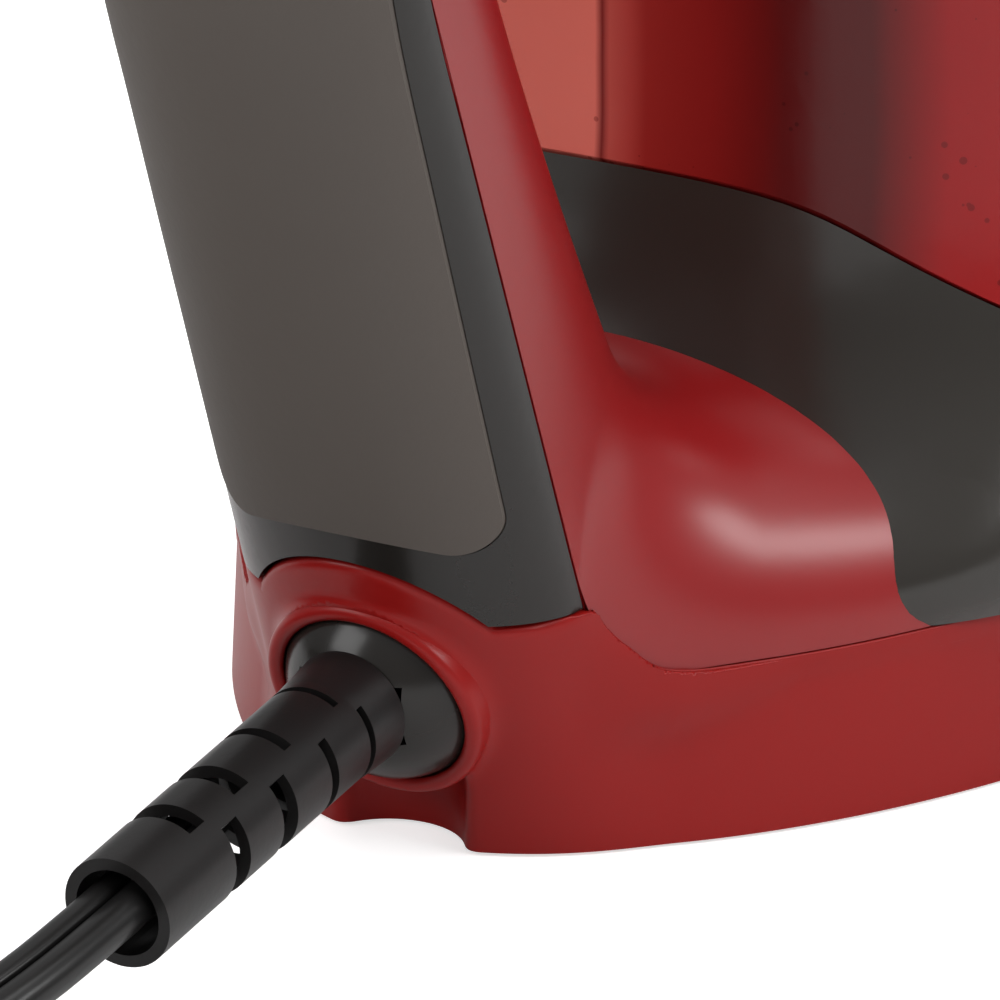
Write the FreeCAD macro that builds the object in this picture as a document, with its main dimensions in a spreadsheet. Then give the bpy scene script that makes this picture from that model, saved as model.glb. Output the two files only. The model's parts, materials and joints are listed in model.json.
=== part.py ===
import FreeCAD, Part
import math
import os

# Steam iron standing on its heel.
# Millimetres. +Z is up, +Y runs from the handle towards the soleplate, +X is the
# right-hand side seen from behind. The origin is on the resting plane, below the
# rear edge of the heel.

V = FreeCAD.Vector
X_AXIS = V(1, 0, 0)
Y_AXIS = V(0, 1, 0)
Z_AXIS = V(0, 0, 1)

doc = FreeCAD.newDocument("SteamIron")

DIMENSIONS = {
    # body and soleplate
    "body_half_width": 59.0,
    "tip_half_width": 4.0,
    "tip_height": 254.0,
    "taper_start": 65.0,
    "sole_foot_depth": 104.0,
    "sole_lean": 7.0,
    "sole_thickness": 5.0,
    "sole_margin": 1.5,
    "sole_heel": 24.0,
    "sole_corner": 14.0,
    "steam_hole_radius": 1.6,
    "shell_wall": 2.4,
    "seam_gap": 0.25,
    "skirt_depth": 22.0,
    "nose_skirt_depth": 6.0,
    # heel
    "heel_height": 20.2,
    "heel_back": -1.6,
    "heel_half_width": 60.0,
    "heel_turn_depth": 88.9,
    "heel_exponent": 1.707,
    "heel_draft": 1.0,
    "heel_front_gap": 6.0,
    "cove_half_width": 8.0,
    "cove_depth": 5.4,
    # handle
    "grip_half_width": 21.4,
    "grip_back": 13.2,
    "grip_front": 19.0,
    "grip_flare": 7.5,
    "grip_taper": 0.0155,
    "grip_squareness": 3.5,
    "handle_lean": 21.36,
    "handle_foot_depth": 14.5,
    "handle_straight": 114.0,
    "handle_bend_radius": 62.0,
    "handle_bend": 89.2,
    "handle_neck": 42.0,
    "cover_turn": 56.0,
    "saddle_crown": 46.2,
    "saddle_rear": 6.6,
    "saddle_front": 46.0,
    "cover_wall": 3.2,
    "cover_seam": 0.3,
    "pad_thickness": 1.6,
    "pad_half_width": 18.0,
    "pad_foot": 41.0,
    "pad_corner": 5.0,
    "pad_gap": 0.15,
    "tongue": 1.6,
    # cord exit
    "opening_radius": 11.2,
    "opening_height": 18.9,
    "ball_radius": 12.6,
    "ball_gap": 0.3,
    "collar_blend": 5.0,
    "spout_wall": 2.1,
    "spout_rise": 0.9,
    "channel_top": 11.5,
    "guard_radius": 6.5,
    "guard_flare": 7.1,
    "guard_bore": 5.1,
    "guard_reach": 59.8,
    "guard_dip": 7.55,
    "cord_width": 8.0,
    # dial
    "dial_radius": 21.0,
    "dial_height": 152.0,
    "dial_thickness": 9.0,
    "shaft_radius": 3.0,
    "running_gap": 0.06,
    "bezel_radius": 25.0,
    # controls
    "button_radius": 6.5,
    "button_travel": 4.0,
    "button_gap": 0.35,
    # heating
    "chamber_depth": 9.0,
    "chamber_margin": 9.0,
    "chamber_heel": 32.0,
    "chamber_reach": 205.0,
    "plate_cover": 1.4,
    "shield_thickness": 0.8,
    "element_radius": 3.2,
    "element_half_span": 30.0,
    "element_bend": 160.0,
    "element_foot": 38.0,
    "thermostat_radius": 9.0,
    "thermostat_height": 5.0,
    "boss_radius": 4.0,
    "screw_radius": 1.9,
    "screw_head": 3.2,
    # resting place of the origin
    "rest_depth": 40.0,
    # cord
    "cord_lead_start": 60.6,
    "coil_radius": 53.0,
    "coil_pitch": 8.7,
    "coil_turns": 3,
    "coil_x": -78.0,
    "coil_y": -79.0,
    "coil_layer": 8.6,
}

sheet = doc.addObject("Spreadsheet::Sheet", "Dimensions")
for row, (alias, value) in enumerate(DIMENSIONS.items(), start=1):
    sheet.set("A%d" % row, alias)
    sheet.set("B%d" % row, repr(value))
    sheet.setAlias("B%d" % row, alias)
doc.recompute()


def dim(alias):
    return float(sheet.get(alias))


W = dim("body_half_width")
WALL = dim("shell_wall")
GAP = dim("seam_gap")
SOLE_LEAN = math.radians(dim("sole_lean"))
LEAN = math.radians(dim("handle_lean"))
HEEL = dim("heel_height")

subparts = []


def publish(label, shape):
    """A sub-part whose shape comes from lofts and booleans of the driving sizes."""
    feature = doc.addObject("Part::Feature", label)
    feature.Label = label
    feature.Shape = shape
    subparts.append(feature)
    return feature


def keep(feature, label):
    """A sub-part that is already a parametric object of the document."""
    feature.Label = label
    subparts.append(feature)
    return feature


def spline_wire(points):
    curve = Part.BSplineCurve()
    curve.interpolate(points)
    return curve.toShape()


def closed_face(edges):
    return Part.Face(Part.Wire(Part.__sortEdges__(edges)))


def polygon_face(points):
    return Part.Face(Part.makePolygon(list(points) + [points[0]]))


def cylinder(radius, length, base, axis):
    return Part.makeCylinder(radius, length, base, axis)


def ring(outer, inner, length, base, axis):
    return cylinder(outer, length, base, axis).cut(cylinder(inner, length, base, axis))


# Body form: the iron's outline, narrowing along one arc per side to the tip.

TAPER = dim("tip_height") - dim("taper_start")
NARROWING = W - dim("tip_half_width")
SIDE_RADIUS = (NARROWING ** 2 + TAPER ** 2) / (2 * NARROWING)


def half_width(height):
    rise = max(0.0, height - dim("taper_start"))
    return W - SIDE_RADIUS + math.sqrt(SIDE_RADIUS ** 2 - rise ** 2)


def sole_face(height):
    """Depth of the soleplate's outer face at a height."""
    return dim("sole_foot_depth") - height * math.tan(SOLE_LEAN)


# height, depth of the wall behind the hand, squareness of the section
BODY_STATIONS = [
    (HEEL + 0.4, 25.0, 2.9),
    (33.0, 34.6, 3.8),
    (44.0, 41.5, 3.4),
    (65.4, 44.9, 2.7),
    (84.0, 44.8, 2.6),
    (110.0, 41.5, 2.6),
    (150.0, 35.5, 2.6),
    (190.0, 33.0, 2.5),
    (216.0, 36.5, 2.4),
    (236.0, 46.0, 2.2),
    (dim("tip_height") - 2.0, 62.0, 2.0),
]


def body_section(height, back, squareness, inset, front_shift):
    wide = half_width(height) - inset
    rear = back + inset
    front = sole_face(height) - (dim("sole_thickness") + GAP) / math.cos(SOLE_LEAN) + front_shift
    points = []
    steps = 7
    for i in range(-steps, steps + 1):
        turn = math.pi / 2 * i / steps
        x = wide * math.copysign(abs(math.sin(turn)) ** (2 / squareness), turn)
        y = front - (front - rear) * math.cos(turn) ** (2 / squareness)
        points.append(V(x, y, height))
    side = spline_wire(points)
    chord = Part.makeLine(points[-1], points[0])
    return Part.Wire([side, chord])


def body_form(inset=0.0, front_shift=0.0, low=0.0):
    wires = []
    for i, (height, back, squareness) in enumerate(BODY_STATIONS):
        if i == 0:
            height -= low
        if i == len(BODY_STATIONS) - 1:
            height -= inset
        wires.append(body_section(height, back, squareness, inset, front_shift))
    return Part.makeLoft(wires, True, False)


def seam_prism(shift_y=0.0, shift_z=0.0):
    """Everything on the soleplate's side of the tank's lower edge."""
    reach = W + 20.0
    side_low = V(-reach, sole_face(64) - dim("skirt_depth"), 64)
    side_turn = V(-reach, sole_face(200) - dim("skirt_depth"), 200)
    side_high = V(-reach, sole_face(270) - dim("nose_skirt_depth"), 270)
    top_rear = V(-reach, -60, 66.2)
    curve = Part.BSplineCurve()
    curve.interpolate([
        V(-reach, 38, 65.9),
        V(-reach, 44.9, 65.4),
        V(-reach, 48.2, 59.8),
        V(-reach, 55.3, 51.6),
        V(-reach, 64.0, 47.6),
        V(-reach, 71.0, 51.5),
        side_low,
    ])
    edges = [
        Part.makeLine(top_rear, V(-reach, 38, 65.9)),
        curve.toShape(),
        Part.makeLine(side_low, side_turn),
        Part.makeLine(side_turn, side_high),
        Part.makeLine(side_high, V(-reach, 130, 270)),
        Part.makeLine(V(-reach, 130, 270), V(-reach, 130, -20)),
        Part.makeLine(V(-reach, 130, -20), V(-reach, -60, -20)),
        Part.makeLine(V(-reach, -60, -20), top_rear),
    ]
    prism = Part.Face(Part.Wire(edges)).extrude(V(2 * reach, 0, 0))
    prism.translate(V(0, shift_y, shift_z))
    return prism


# Handle form: an oval carried along a leaning line, over a bend and into a neck.

ALONG = V(0, -math.sin(LEAN), math.cos(LEAN))
FOOT = V(0, dim("handle_foot_depth"), 0)
BEND_START = FOOT + ALONG * dim("handle_straight")
BEND_CENTRE = BEND_START + V(0, math.cos(LEAN), math.sin(LEAN)) * dim("handle_bend_radius")


def spine(distance):
    """Point and direction of the handle's spine at a distance from its foot."""
    straight = dim("handle_straight")
    radius = dim("handle_bend_radius")
    bend = math.radians(dim("handle_bend"))
    if distance <= straight:
        return FOOT + ALONG * distance, ALONG
    turn = min((distance - straight) / radius, bend)
    angle = turn - LEAN
    point = BEND_CENTRE + V(0, -math.cos(angle), math.sin(angle)) * radius
    direction = V(0, math.sin(angle), math.cos(angle))
    rest = distance - straight - radius * bend
    if rest > 0:
        point = point + direction * rest
    return point, direction


BEND_LENGTH = dim("handle_bend_radius") * math.radians(dim("handle_bend"))
HANDLE_LENGTH = dim("handle_straight") + BEND_LENGTH + dim("handle_neck")


def oval_sizes(distance):
    """Half width, back depth and front depth of the handle's section."""
    wide = dim("grip_half_width") - dim("grip_taper") * distance
    flare = max(0.0, (110.0 - distance) / 64.0) ** 1.5
    return wide, dim("grip_back"), dim("grip_front") + dim("grip_flare") * flare


def half_oval(distance, side, inset, edge_gap):
    """A D-shaped section; side is -1 for the back of the handle, 1 for its front."""
    point, direction = spine(distance)
    outward = V(0, direction.z, -direction.y) * side
    wide, back, front = oval_sizes(distance)
    wide -= inset
    if side < 0:
        depth, power = back - inset, 1.0
    else:
        depth, power = front - inset, 2 / dim("grip_squareness")
    points = []
    steps = 6
    for i in range(-steps, steps + 1):
        turn = math.pi / 2 * i / steps
        x = wide * math.copysign(abs(math.sin(turn)) ** power, turn)
        rise = depth * abs(math.cos(turn)) ** power
        points.append(point + X_AXIS * x + outward * rise)
    points[0] = point - X_AXIS * wide + outward * edge_gap
    points[-1] = point + X_AXIS * wide + outward * edge_gap
    arc = spline_wire(points)
    return Part.Wire([arc, Part.makeLine(points[-1], points[0])])


def half_handle(start, end, side, inset=0.0, edge_gap=0.0):
    spans = max(1, round((end - start) / 15.0))
    wires = [half_oval(start + (end - start) * i / spans, side, inset, edge_gap)
             for i in range(spans + 1)]
    return Part.makeLoft(wires, True, False)


COVER_END = dim("handle_straight") + math.radians(dim("cover_turn")) * dim("handle_bend_radius")
PANEL_END = dim("handle_straight") + BEND_LENGTH


def arch_prism(grow=0.0):
    """Region below the back cover's lower edge, seen along the depth of the iron."""
    crown = 37.3 + grow
    foot = 30.4 + grow
    corner = 14.6
    arch = Part.Arc(V(-corner, -60, 30.0 + grow), V(0, -60, crown), V(corner, -60, 30.0 + grow))
    edges = [
        arch.toShape(),
        Part.makeLine(V(corner, -60, 30.0 + grow), V(60, -60, foot)),
        Part.makeLine(V(60, -60, foot), V(60, -60, -30)),
        Part.makeLine(V(60, -60, -30), V(-60, -60, -30)),
        Part.makeLine(V(-60, -60, -30), V(-60, -60, foot)),
        Part.makeLine(V(-60, -60, foot), V(-corner, -60, 30.0 + grow)),
    ]
    return Part.Face(Part.Wire(edges)).extrude(V(0, 160, 0))


# Cord exit: a ball in the heel whose opening faces back and down.

OUT = V(0, -math.cos(LEAN), -math.sin(LEAN))
BACK_LINE = V(0, dim("handle_foot_depth") - dim("grip_back") / math.cos(LEAN), 0)
OPENING = BACK_LINE + ALONG * (dim("opening_height") / math.cos(LEAN))
BALL_SINK = math.sqrt(dim("ball_radius") ** 2 - dim("opening_radius") ** 2)
BALL = OPENING - OUT * BALL_SINK
DIP = math.radians(dim("guard_dip"))
GUARD = V(0, -math.cos(DIP), -math.sin(DIP))


def heel_rear(x, height, inset):
    """Depth of the heel's rear face, a superellipse in plan."""
    wide = dim("heel_half_width") - inset
    turn_depth = dim("heel_turn_depth")
    depth = turn_depth - dim("heel_back") - inset
    power = dim("heel_exponent")
    return turn_depth - depth * (1 - min(1.0, abs(x) / wide) ** power) ** (1 / power)


def collar_rear(x, height):
    """Depth of the handle's rear face carried down to the heel."""
    wide, back, front = oval_sizes(height)
    middle = FOOT.y - height * math.tan(LEAN)
    if abs(x) >= wide:
        return middle + (abs(x) - wide) * 6
    return middle - back / math.cos(LEAN) * math.sqrt(1 - (x / wide) ** 2)


def blended_rear(x, height, inset):
    """The nearer of the two faces, rounded where they meet."""
    heel = heel_rear(x, height, inset)
    collar = collar_rear(x, height)
    overlap = max(dim("collar_blend") - abs(heel - collar), 0.0) / dim("collar_blend")
    return min(heel, collar) - overlap ** 2 * dim("collar_blend") / 4


HEEL_MARKS = [5.0, 10.0, 13.5, 16.5, 19.0, 21.0, 23.0, 26.5, 32.0, 40.0, 48.0, 54.0, 58.0]


def heel_outline(height, inset, rear_face):
    wide = dim("heel_half_width") - inset
    front = sole_face(height) - dim("heel_front_gap") - inset
    marks = [-wide] + [-x for x in reversed(HEEL_MARKS) if x < wide - 1] + [0.0]
    marks += [x for x in HEEL_MARKS if x < wide - 1] + [wide]
    points = [V(x, rear_face(x, height, inset), height) for x in marks]
    points[0] = V(-wide, dim("heel_turn_depth"), height)
    points[-1] = V(wide, dim("heel_turn_depth"), height)
    front_left = V(-wide, front, height)
    front_right = V(wide, front, height)
    return Part.Wire([
        spline_wire(points),
        Part.makeLine(points[-1], front_right),
        Part.makeLine(front_right, front_left),
        Part.makeLine(front_left, points[0]),
    ])


def heel_outer():
    wires = []
    steps = 4
    for i in range(steps + 1):
        height = HEEL * i / steps
        wires.append(heel_outline(height, dim("heel_draft") * i / steps, blended_rear))
    return Part.makeLoft(wires, True, False)


def heel_inner():
    low = heel_outline(WALL, WALL, heel_rear)
    high = heel_outline(HEEL + 6.0, WALL + dim("heel_draft"), heel_rear)
    return Part.makeLoft([low, high], True, True)


HEEL_SCREWS_X = (-34.0, 34.0)
HEEL_SCREWS_Y = 66.0


def heel_bosses():
    return [cylinder(4.5, HEEL - 1.0, V(x, HEEL_SCREWS_Y, 1.0), Z_AXIS) for x in HEEL_SCREWS_X]


def heel_screw_holes():
    tools = []
    for x in HEEL_SCREWS_X:
        tools.append(cylinder(dim("screw_radius") + 0.1, 30.0, V(x, HEEL_SCREWS_Y, -1), Z_AXIS))
        tools.append(cylinder(dim("screw_head") + 0.2, 5.0, V(x, HEEL_SCREWS_Y, -1), Z_AXIS))
    return tools


def collar_tongue():
    """A lip behind the back cover's lower edge."""
    depth = dim("cover_wall") + GAP
    tongue = half_handle(0.0, 60.0, -1, depth, 0.3)
    tongue = tongue.cut(half_handle(-5.0, 65.0, -1, depth + dim("tongue"), -0.5))
    return tongue.common(Part.makeBox(80, 160, 22, V(-40, -80, 20.0)))


def ball_socket():
    """The space that the ball turns in, open to the back and to the heel's inside."""
    radius = dim("ball_radius") + dim("ball_gap")
    mouth = math.sqrt(radius ** 2 - dim("opening_radius") ** 2)
    mouth_point = V(0, dim("opening_radius"), mouth)
    turn = math.atan2(dim("opening_radius"), mouth) / 2 + math.pi / 4
    profile = [
        Part.Arc(V(0, radius, 0), V(0, radius * math.sin(turn), radius * math.cos(turn)),
                 mouth_point).toShape(),
        Part.makeLine(mouth_point, V(0, dim("opening_radius"), 24)),
        Part.makeLine(V(0, dim("opening_radius"), 24), V(0, 0, 24)),
        Part.makeLine(V(0, 0, 24), V(0, 0, -22)),
        Part.makeLine(V(0, 0, -22), V(0, radius, -22)),
        Part.makeLine(V(0, radius, -22), V(0, radius, 0)),
    ]
    socket = Part.Face(Part.Wire(profile)).revolve(V(0, 0, 0), Z_AXIS, 360)
    socket.Placement = FreeCAD.Placement(BALL, FreeCAD.Rotation(Z_AXIS, OUT))
    return socket


def make_spout():
    """A round-edged collar about the cord's opening."""
    inner = dim("opening_radius")
    outer = inner + dim("spout_wall")
    round_radius = dim("spout_wall") / 2
    shoulder = dim("spout_rise") - round_radius
    arc = Part.Arc(V(0, inner, shoulder), V(0, inner + round_radius, dim("spout_rise")),
                   V(0, outer, shoulder)).toShape()
    profile = [
        arc,
        Part.makeLine(V(0, outer, shoulder), V(0, outer, -7)),
        Part.makeLine(V(0, outer, -7), V(0, inner, -7)),
        Part.makeLine(V(0, inner, -7), V(0, inner, shoulder)),
    ]
    spout = Part.Face(Part.Wire(profile)).revolve(V(0, 0, 0), Z_AXIS, 360)
    spout.Placement = FreeCAD.Placement(OPENING, FreeCAD.Rotation(Z_AXIS, OUT))
    return spout


def make_heel_cover():
    socket = ball_socket()
    base = heel_outer().cut(heel_inner())
    column = half_handle(-14.0, 60.0, -1, 0.0, 0.1).common(arch_prism())
    column = column.common(Part.makeBox(120, 160, 80, V(-60, -60, HEEL)))
    cover = base.cut(socket).fuse(column.cut(socket)).fuse(make_spout().cut(socket))
    cove_radius = (dim("cove_half_width") ** 2 + dim("cove_depth") ** 2) / (2 * dim("cove_depth"))
    cove_centre = V(0, dim("heel_back") + 0.3 - cove_radius + dim("cove_depth"), -1)
    cover = cover.cut(cylinder(cove_radius, dim("channel_top") + 1, cove_centre, Z_AXIS))
    cover = cover.fuse(heel_bosses()).cut(heel_screw_holes())
    return cover.fuse(collar_tongue().cut(socket))


publish("heel_cover", make_heel_cover())


# Saddle: the arched shoulder between the handle's foot and the body.

def saddle_half_width(depth):
    turn_depth = dim("heel_turn_depth")
    run = max(0.0, (turn_depth - depth) / (turn_depth - dim("heel_back")))
    wide = dim("heel_half_width") - dim("heel_draft") - 0.2
    return wide * (1 - run ** dim("heel_exponent")) ** (1 / dim("heel_exponent"))


def saddle_form(inset=0.0, rear_shift=0.0, front_shift=0.0):
    low = HEEL + 0.4
    rear = dim("saddle_rear")
    front = dim("saddle_front")
    wires = []
    steps = 4
    for i in range(steps + 1):
        depth = rear + (front - rear) * i / steps
        wide = saddle_half_width(depth) - inset
        rise = dim("saddle_crown") - low - inset
        shift = rear_shift if i == 0 else front_shift if i == steps else 0.0
        y = depth + shift
        points = []
        for k in range(9):
            turn = math.pi * k / 8
            points.append(V(wide * math.cos(turn), y, low + rise * math.sin(turn)))
        arch = spline_wire(points)
        wires.append(Part.Wire([arch, Part.makeLine(points[-1], points[0])]))
    return Part.makeLoft(wires, True, False)


def make_housing():
    outer = saddle_form().fuse(half_handle(8.0, HANDLE_LENGTH, 1))
    above = Part.makeBox(200, 260, 300, V(-100, -120, HEEL + 0.4))
    outer = outer.common(above)
    inner = saddle_form(WALL, WALL, 3.0).fuse(half_handle(0.0, HANDLE_LENGTH + 4.0, 1, WALL, -0.5))
    shell = outer.cut(inner)
    return shell.cut(body_form(-GAP))


housing = make_housing()
for side, label in ((-1, "housing_left"), (1, "housing_right")):
    half_space = Part.makeBox(120, 300, 300, V(0 if side > 0 else -120, -150, 0))
    publish(label, housing.common(half_space))


# Places on the soleplate: x across, s up the sole from the resting plane, n inwards.

UP_SOLE = V(0, -math.sin(SOLE_LEAN), math.cos(SOLE_LEAN))
INWARD = V(0, -math.cos(SOLE_LEAN), -math.sin(SOLE_LEAN))
SOLE_FOOT = V(0, dim("sole_foot_depth"), 0)
SOLE_PLACE = FreeCAD.Placement(SOLE_FOOT, FreeCAD.Rotation(X_AXIS, 90 + dim("sole_lean")))
CHAMBER_TOP = dim("sole_thickness") + dim("chamber_depth")
COVER_TOP = CHAMBER_TOP + dim("plate_cover")
SHIELD_TOP = COVER_TOP + dim("shield_thickness")
FLOOR_INNER = (dim("skirt_depth") - WALL) * math.cos(SOLE_LEAN)
FLOOR_OUTER = dim("skirt_depth") * math.cos(SOLE_LEAN)
TANK_FLOOR = (dim("skirt_depth") + GAP + WALL) * math.cos(SOLE_LEAN)
DIAL_UP = dim("dial_height")
SEAT = 50.5
VALVE = (14.0, 185.0)
SOLE_SCREWS = ((-40.0, 62.0), (40.0, 62.0), (0.0, 196.0))


def on_sole(x, s, n):
    return SOLE_FOOT + X_AXIS * x + UP_SOLE * s + INWARD * n


def sole_cylinder(radius, x, s, low, high):
    return cylinder(radius, high - low, on_sole(x, s, low), INWARD)


# Nose facet, with the filling port and the spray nozzle.

FACET = V(0, 47.4, 225.4)
FACET_UP = V(0, 1, 1).normalize()
FACET_OUT = V(0, -1, 1).normalize()
DOOR_PIN = 11.0
DOOR_PIN_RISE = 2.4
PORT_HALF = (7.0, 5.0)
BEYOND = ((-80.0, 80.0), (-90.0, 90.0))
NOZZLE_UP = 21.5


def on_facet(u, v, n):
    return FACET + X_AXIS * u + FACET_UP * v + FACET_OUT * n


def facet_box(u_range, v_range, n_range):
    size = (u_range[1] - u_range[0], v_range[1] - v_range[0], n_range[1] - n_range[0])
    box = Part.makeBox(*size)
    rotation = FreeCAD.Rotation(X_AXIS, FACET_UP, FACET_OUT, "ZXY")
    box.Placement = FreeCAD.Placement(on_facet(u_range[0], v_range[0], n_range[0]), rotation)
    return box


def sole_boss(x, s):
    return sole_cylinder(dim("boss_radius"), x, s, SHIELD_TOP, FLOOR_INNER + 1.0)


def make_lower_housing():
    outer = body_form().common(seam_prism()).cut(facet_box(*BEYOND, (0.0, 60.0)))
    cavity = body_form(WALL, 12.0, -WALL).common(seam_prism(WALL, -WALL))
    cavity = cavity.common(seam_prism(-WALL, -WALL))
    cavity = cavity.cut(facet_box(*BEYOND, (-WALL, 60.0)))
    housing = outer.cut(cavity)
    housing = housing.fuse([sole_boss(*place) for place in SOLE_SCREWS])
    tools = [sole_cylinder(8.0, 0, DIAL_UP, 16.0, 30.0), sole_cylinder(3.9, *VALVE, 16.0, 30.0)]
    for place in SOLE_SCREWS:
        tools.append(sole_cylinder(dim("screw_radius") + 0.1, *place, 10.0, 30.0))
        tools.append(sole_cylinder(dim("screw_head") + 0.2, *place, FLOOR_OUTER - 2.1, 30.0))
    for x in HEEL_SCREWS_X:
        tools.append(cylinder(dim("screw_radius") + 0.1, 8.0, V(x, HEEL_SCREWS_Y, 18), Z_AXIS))
    tools.append(cylinder(6.0, 12.0, V(0, 48, 16), Z_AXIS))
    tools.append(cylinder(3.05, 8.0, on_facet(0, NOZZLE_UP, -5), FACET_OUT))
    return housing.cut(tools)


publish("lower_housing", make_lower_housing())


def make_tank():
    outer = body_form().cut([seam_prism(-GAP, GAP), seam_prism(GAP, GAP)])
    outer = outer.cut(facet_box(*BEYOND, (0.0, 60.0)))
    deep = GAP + WALL
    inner = body_form(WALL).cut([seam_prism(-deep, deep), seam_prism(deep, deep)])
    inner = inner.cut(facet_box(*BEYOND, (-WALL, 60.0)))
    tank = outer.cut(inner)
    seat = sole_cylinder(dim("bezel_radius") + 1.0, 0, DIAL_UP, 43.0, SEAT)
    tube = sole_cylinder(6.0, 0, DIAL_UP, TANK_FLOOR - 1.0, SEAT)
    tank = tank.fuse([seat, tube])
    tank = tank.cut(sole_cylinder(dim("bezel_radius") + 1.3, 0, DIAL_UP, SEAT, SEAT + 14))
    bore = dim("shaft_radius") + dim("running_gap")
    tank = tank.cut(sole_cylinder(bore, 0, DIAL_UP, 15.0, SEAT + 5))
    lugs = []
    for u in (-12.5, 9.0):
        lugs.append(facet_box((u, u + 3.5), (DOOR_PIN - 2.6, DOOR_PIN + 2.6), (-1.0, 4.8)))
    tank = tank.fuse(lugs)
    tank = tank.cut(cylinder(1.2 + dim("running_gap"), 40.0, on_facet(-20, DOOR_PIN, DOOR_PIN_RISE), X_AXIS))
    port = ((-PORT_HALF[0], PORT_HALF[0]), (-PORT_HALF[1], PORT_HALF[1]), (-4.0, 1.0))
    tank = tank.cut([facet_box(*port), cylinder(3.05, 12.0, on_facet(0, NOZZLE_UP, -6), FACET_OUT)])
    return tank.cut(sole_cylinder(3.55, *VALVE, 10.0, TANK_FLOOR + 1))


publish("water_tank", make_tank())


def pad_window(grow=0.0):
    wide = dim("pad_half_width") + grow
    low = dim("pad_foot") - 2.6 - grow
    crown = dim("pad_foot") + 0.3 - grow
    top = 300.0
    foot = Part.Arc(V(-wide, -90, low), V(0, -90, crown), V(wide, -90, low)).toShape()
    edges = [
        foot,
        Part.makeLine(V(wide, -90, low), V(wide, -90, top)),
        Part.makeLine(V(wide, -90, top), V(-wide, -90, top)),
        Part.makeLine(V(-wide, -90, top), V(-wide, -90, low)),
    ]
    prism = Part.Face(Part.Wire(edges)).extrude(V(0, 140, 0))
    corners = [e for e in prism.Edges if abs(e.tangentAt(e.FirstParameter).y) > 0.99
               and e.CenterOfMass.z < low + 1]
    return prism.makeFillet(dim("pad_corner") + grow, corners)


PAD_END = COVER_END - 14.0


def pad_form(gap=0.0):
    """The band of the handle's back that the soft insert fills."""
    outer = half_handle(15.0, PAD_END + gap, -1, -0.25 - 4 * gap, 0.0)
    outer = outer.cut(half_handle(10.0, PAD_END + 5.0, -1, dim("pad_thickness") + gap, -40.0))
    return outer.common(pad_window(gap))


def make_back_cover():
    shell = half_handle(20.0, COVER_END, -1, 0.0, dim("cover_seam"))
    shell = shell.cut(half_handle(10.0, COVER_END + 5.0, -1, dim("cover_wall"), -0.5))
    shell = shell.cut([half_handle(8.0, HANDLE_LENGTH, 1, -0.3, -0.15), arch_prism(GAP)])
    return shell.cut(pad_form(dim("pad_gap")))


publish("handle_back_cover", make_back_cover())
publish("grip_pad", pad_form())


# Controls on top of the handle.

BUTTON_ANGLES = {"steam_button": 44.0, "spray_button": 58.0}
BACK_RADIUS = dim("handle_bend_radius") + dim("grip_back")
SLIDER_AT = PANEL_END + 13.0
LENS_AT = SLIDER_AT + 12.0


def bend_out(angle):
    return V(0, -math.cos(math.radians(angle)), math.sin(math.radians(angle)))


def bend_cylinder(radius, angle, low, high):
    direction = bend_out(angle)
    return cylinder(radius, high - low, BEND_CENTRE + direction * low, direction)


def slider_box(half_x, half_along, low, high):
    point, direction = spine(SLIDER_AT)
    outward = V(0, -direction.z, direction.y)
    box = Part.makeBox(2 * half_x, 2 * half_along, high - low)
    rotation = FreeCAD.Rotation(X_AXIS, direction, outward, "ZXY")
    base = point - X_AXIS * half_x - direction * half_along + outward * low
    box.Placement = FreeCAD.Placement(base, rotation)
    return box


def panel_cylinder(radius, distance, low, high):
    point, direction = spine(distance)
    outward = V(0, -direction.z, direction.y)
    return cylinder(radius, high - low, point + outward * low, outward)


def make_control_panel():
    shell = half_handle(COVER_END + GAP, HANDLE_LENGTH, -1, 0.0, dim("cover_seam"))
    shell = shell.cut(half_handle(COVER_END - 5.0, HANDLE_LENGTH + 5.0, -1, dim("cover_wall"), -0.5))
    shell = shell.cut(body_form(-GAP))
    for angle in BUTTON_ANGLES.values():
        shell = shell.cut(bend_cylinder(dim("button_radius") + dim("button_gap"), angle, 60.0, 90.0))
    shell = shell.cut(slider_box(11.0, 2.5, 4.0, 30.0))
    return shell.cut(panel_cylinder(2.55, LENS_AT, 4.0, 30.0))


publish("control_panel", make_control_panel())

BUTTON_FLANGE = BACK_RADIUS - dim("cover_wall") - 2.1
PUMP_TOP = BUTTON_FLANGE - 1.6 - dim("button_travel") - 0.2
PUMP_FOOT = dim("handle_bend_radius") - dim("grip_front") + WALL + 0.3


def make_button(angle):
    button = bend_cylinder(dim("button_radius"), angle, BUTTON_FLANGE - 1.0, BACK_RADIUS + 3.5)
    edge = [e for e in button.Edges if (e.CenterOfMass - BEND_CENTRE).Length > BACK_RADIUS + 3]
    button = button.makeFillet(0.8, edge[:1])
    return button.fuse(bend_cylinder(8.0, angle, BUTTON_FLANGE - 1.6, BUTTON_FLANGE))


for label, angle in BUTTON_ANGLES.items():
    publish(label, make_button(angle))
    pump = bend_cylinder(4.8, angle, PUMP_FOOT, PUMP_TOP - 4.0)
    publish(label.replace("button", "pump"), pump.fuse(bend_cylinder(2.4, angle, PUMP_TOP - 5.0, PUMP_TOP)))

slider = slider_box(5.9, 2.3, 5.0, dim("grip_back") + 0.4)
slider = slider.fuse(slider_box(6.0, 4.0, 4.6, 6.1))
publish("steam_slider", slider.fuse(slider_box(3.0, 2.3, 13.0, dim("grip_back") + 3.0)))

LENS_LOW = dim("grip_back") - dim("cover_wall") - 1.8
lens = panel_cylinder(2.5, LENS_AT, LENS_LOW, dim("grip_back") + 0.6)
publish("indicator_lens", lens.fuse(panel_cylinder(3.6, LENS_AT, LENS_LOW, LENS_LOW + 1.2)))


# Dial on the tank's wall below the grip.

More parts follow.
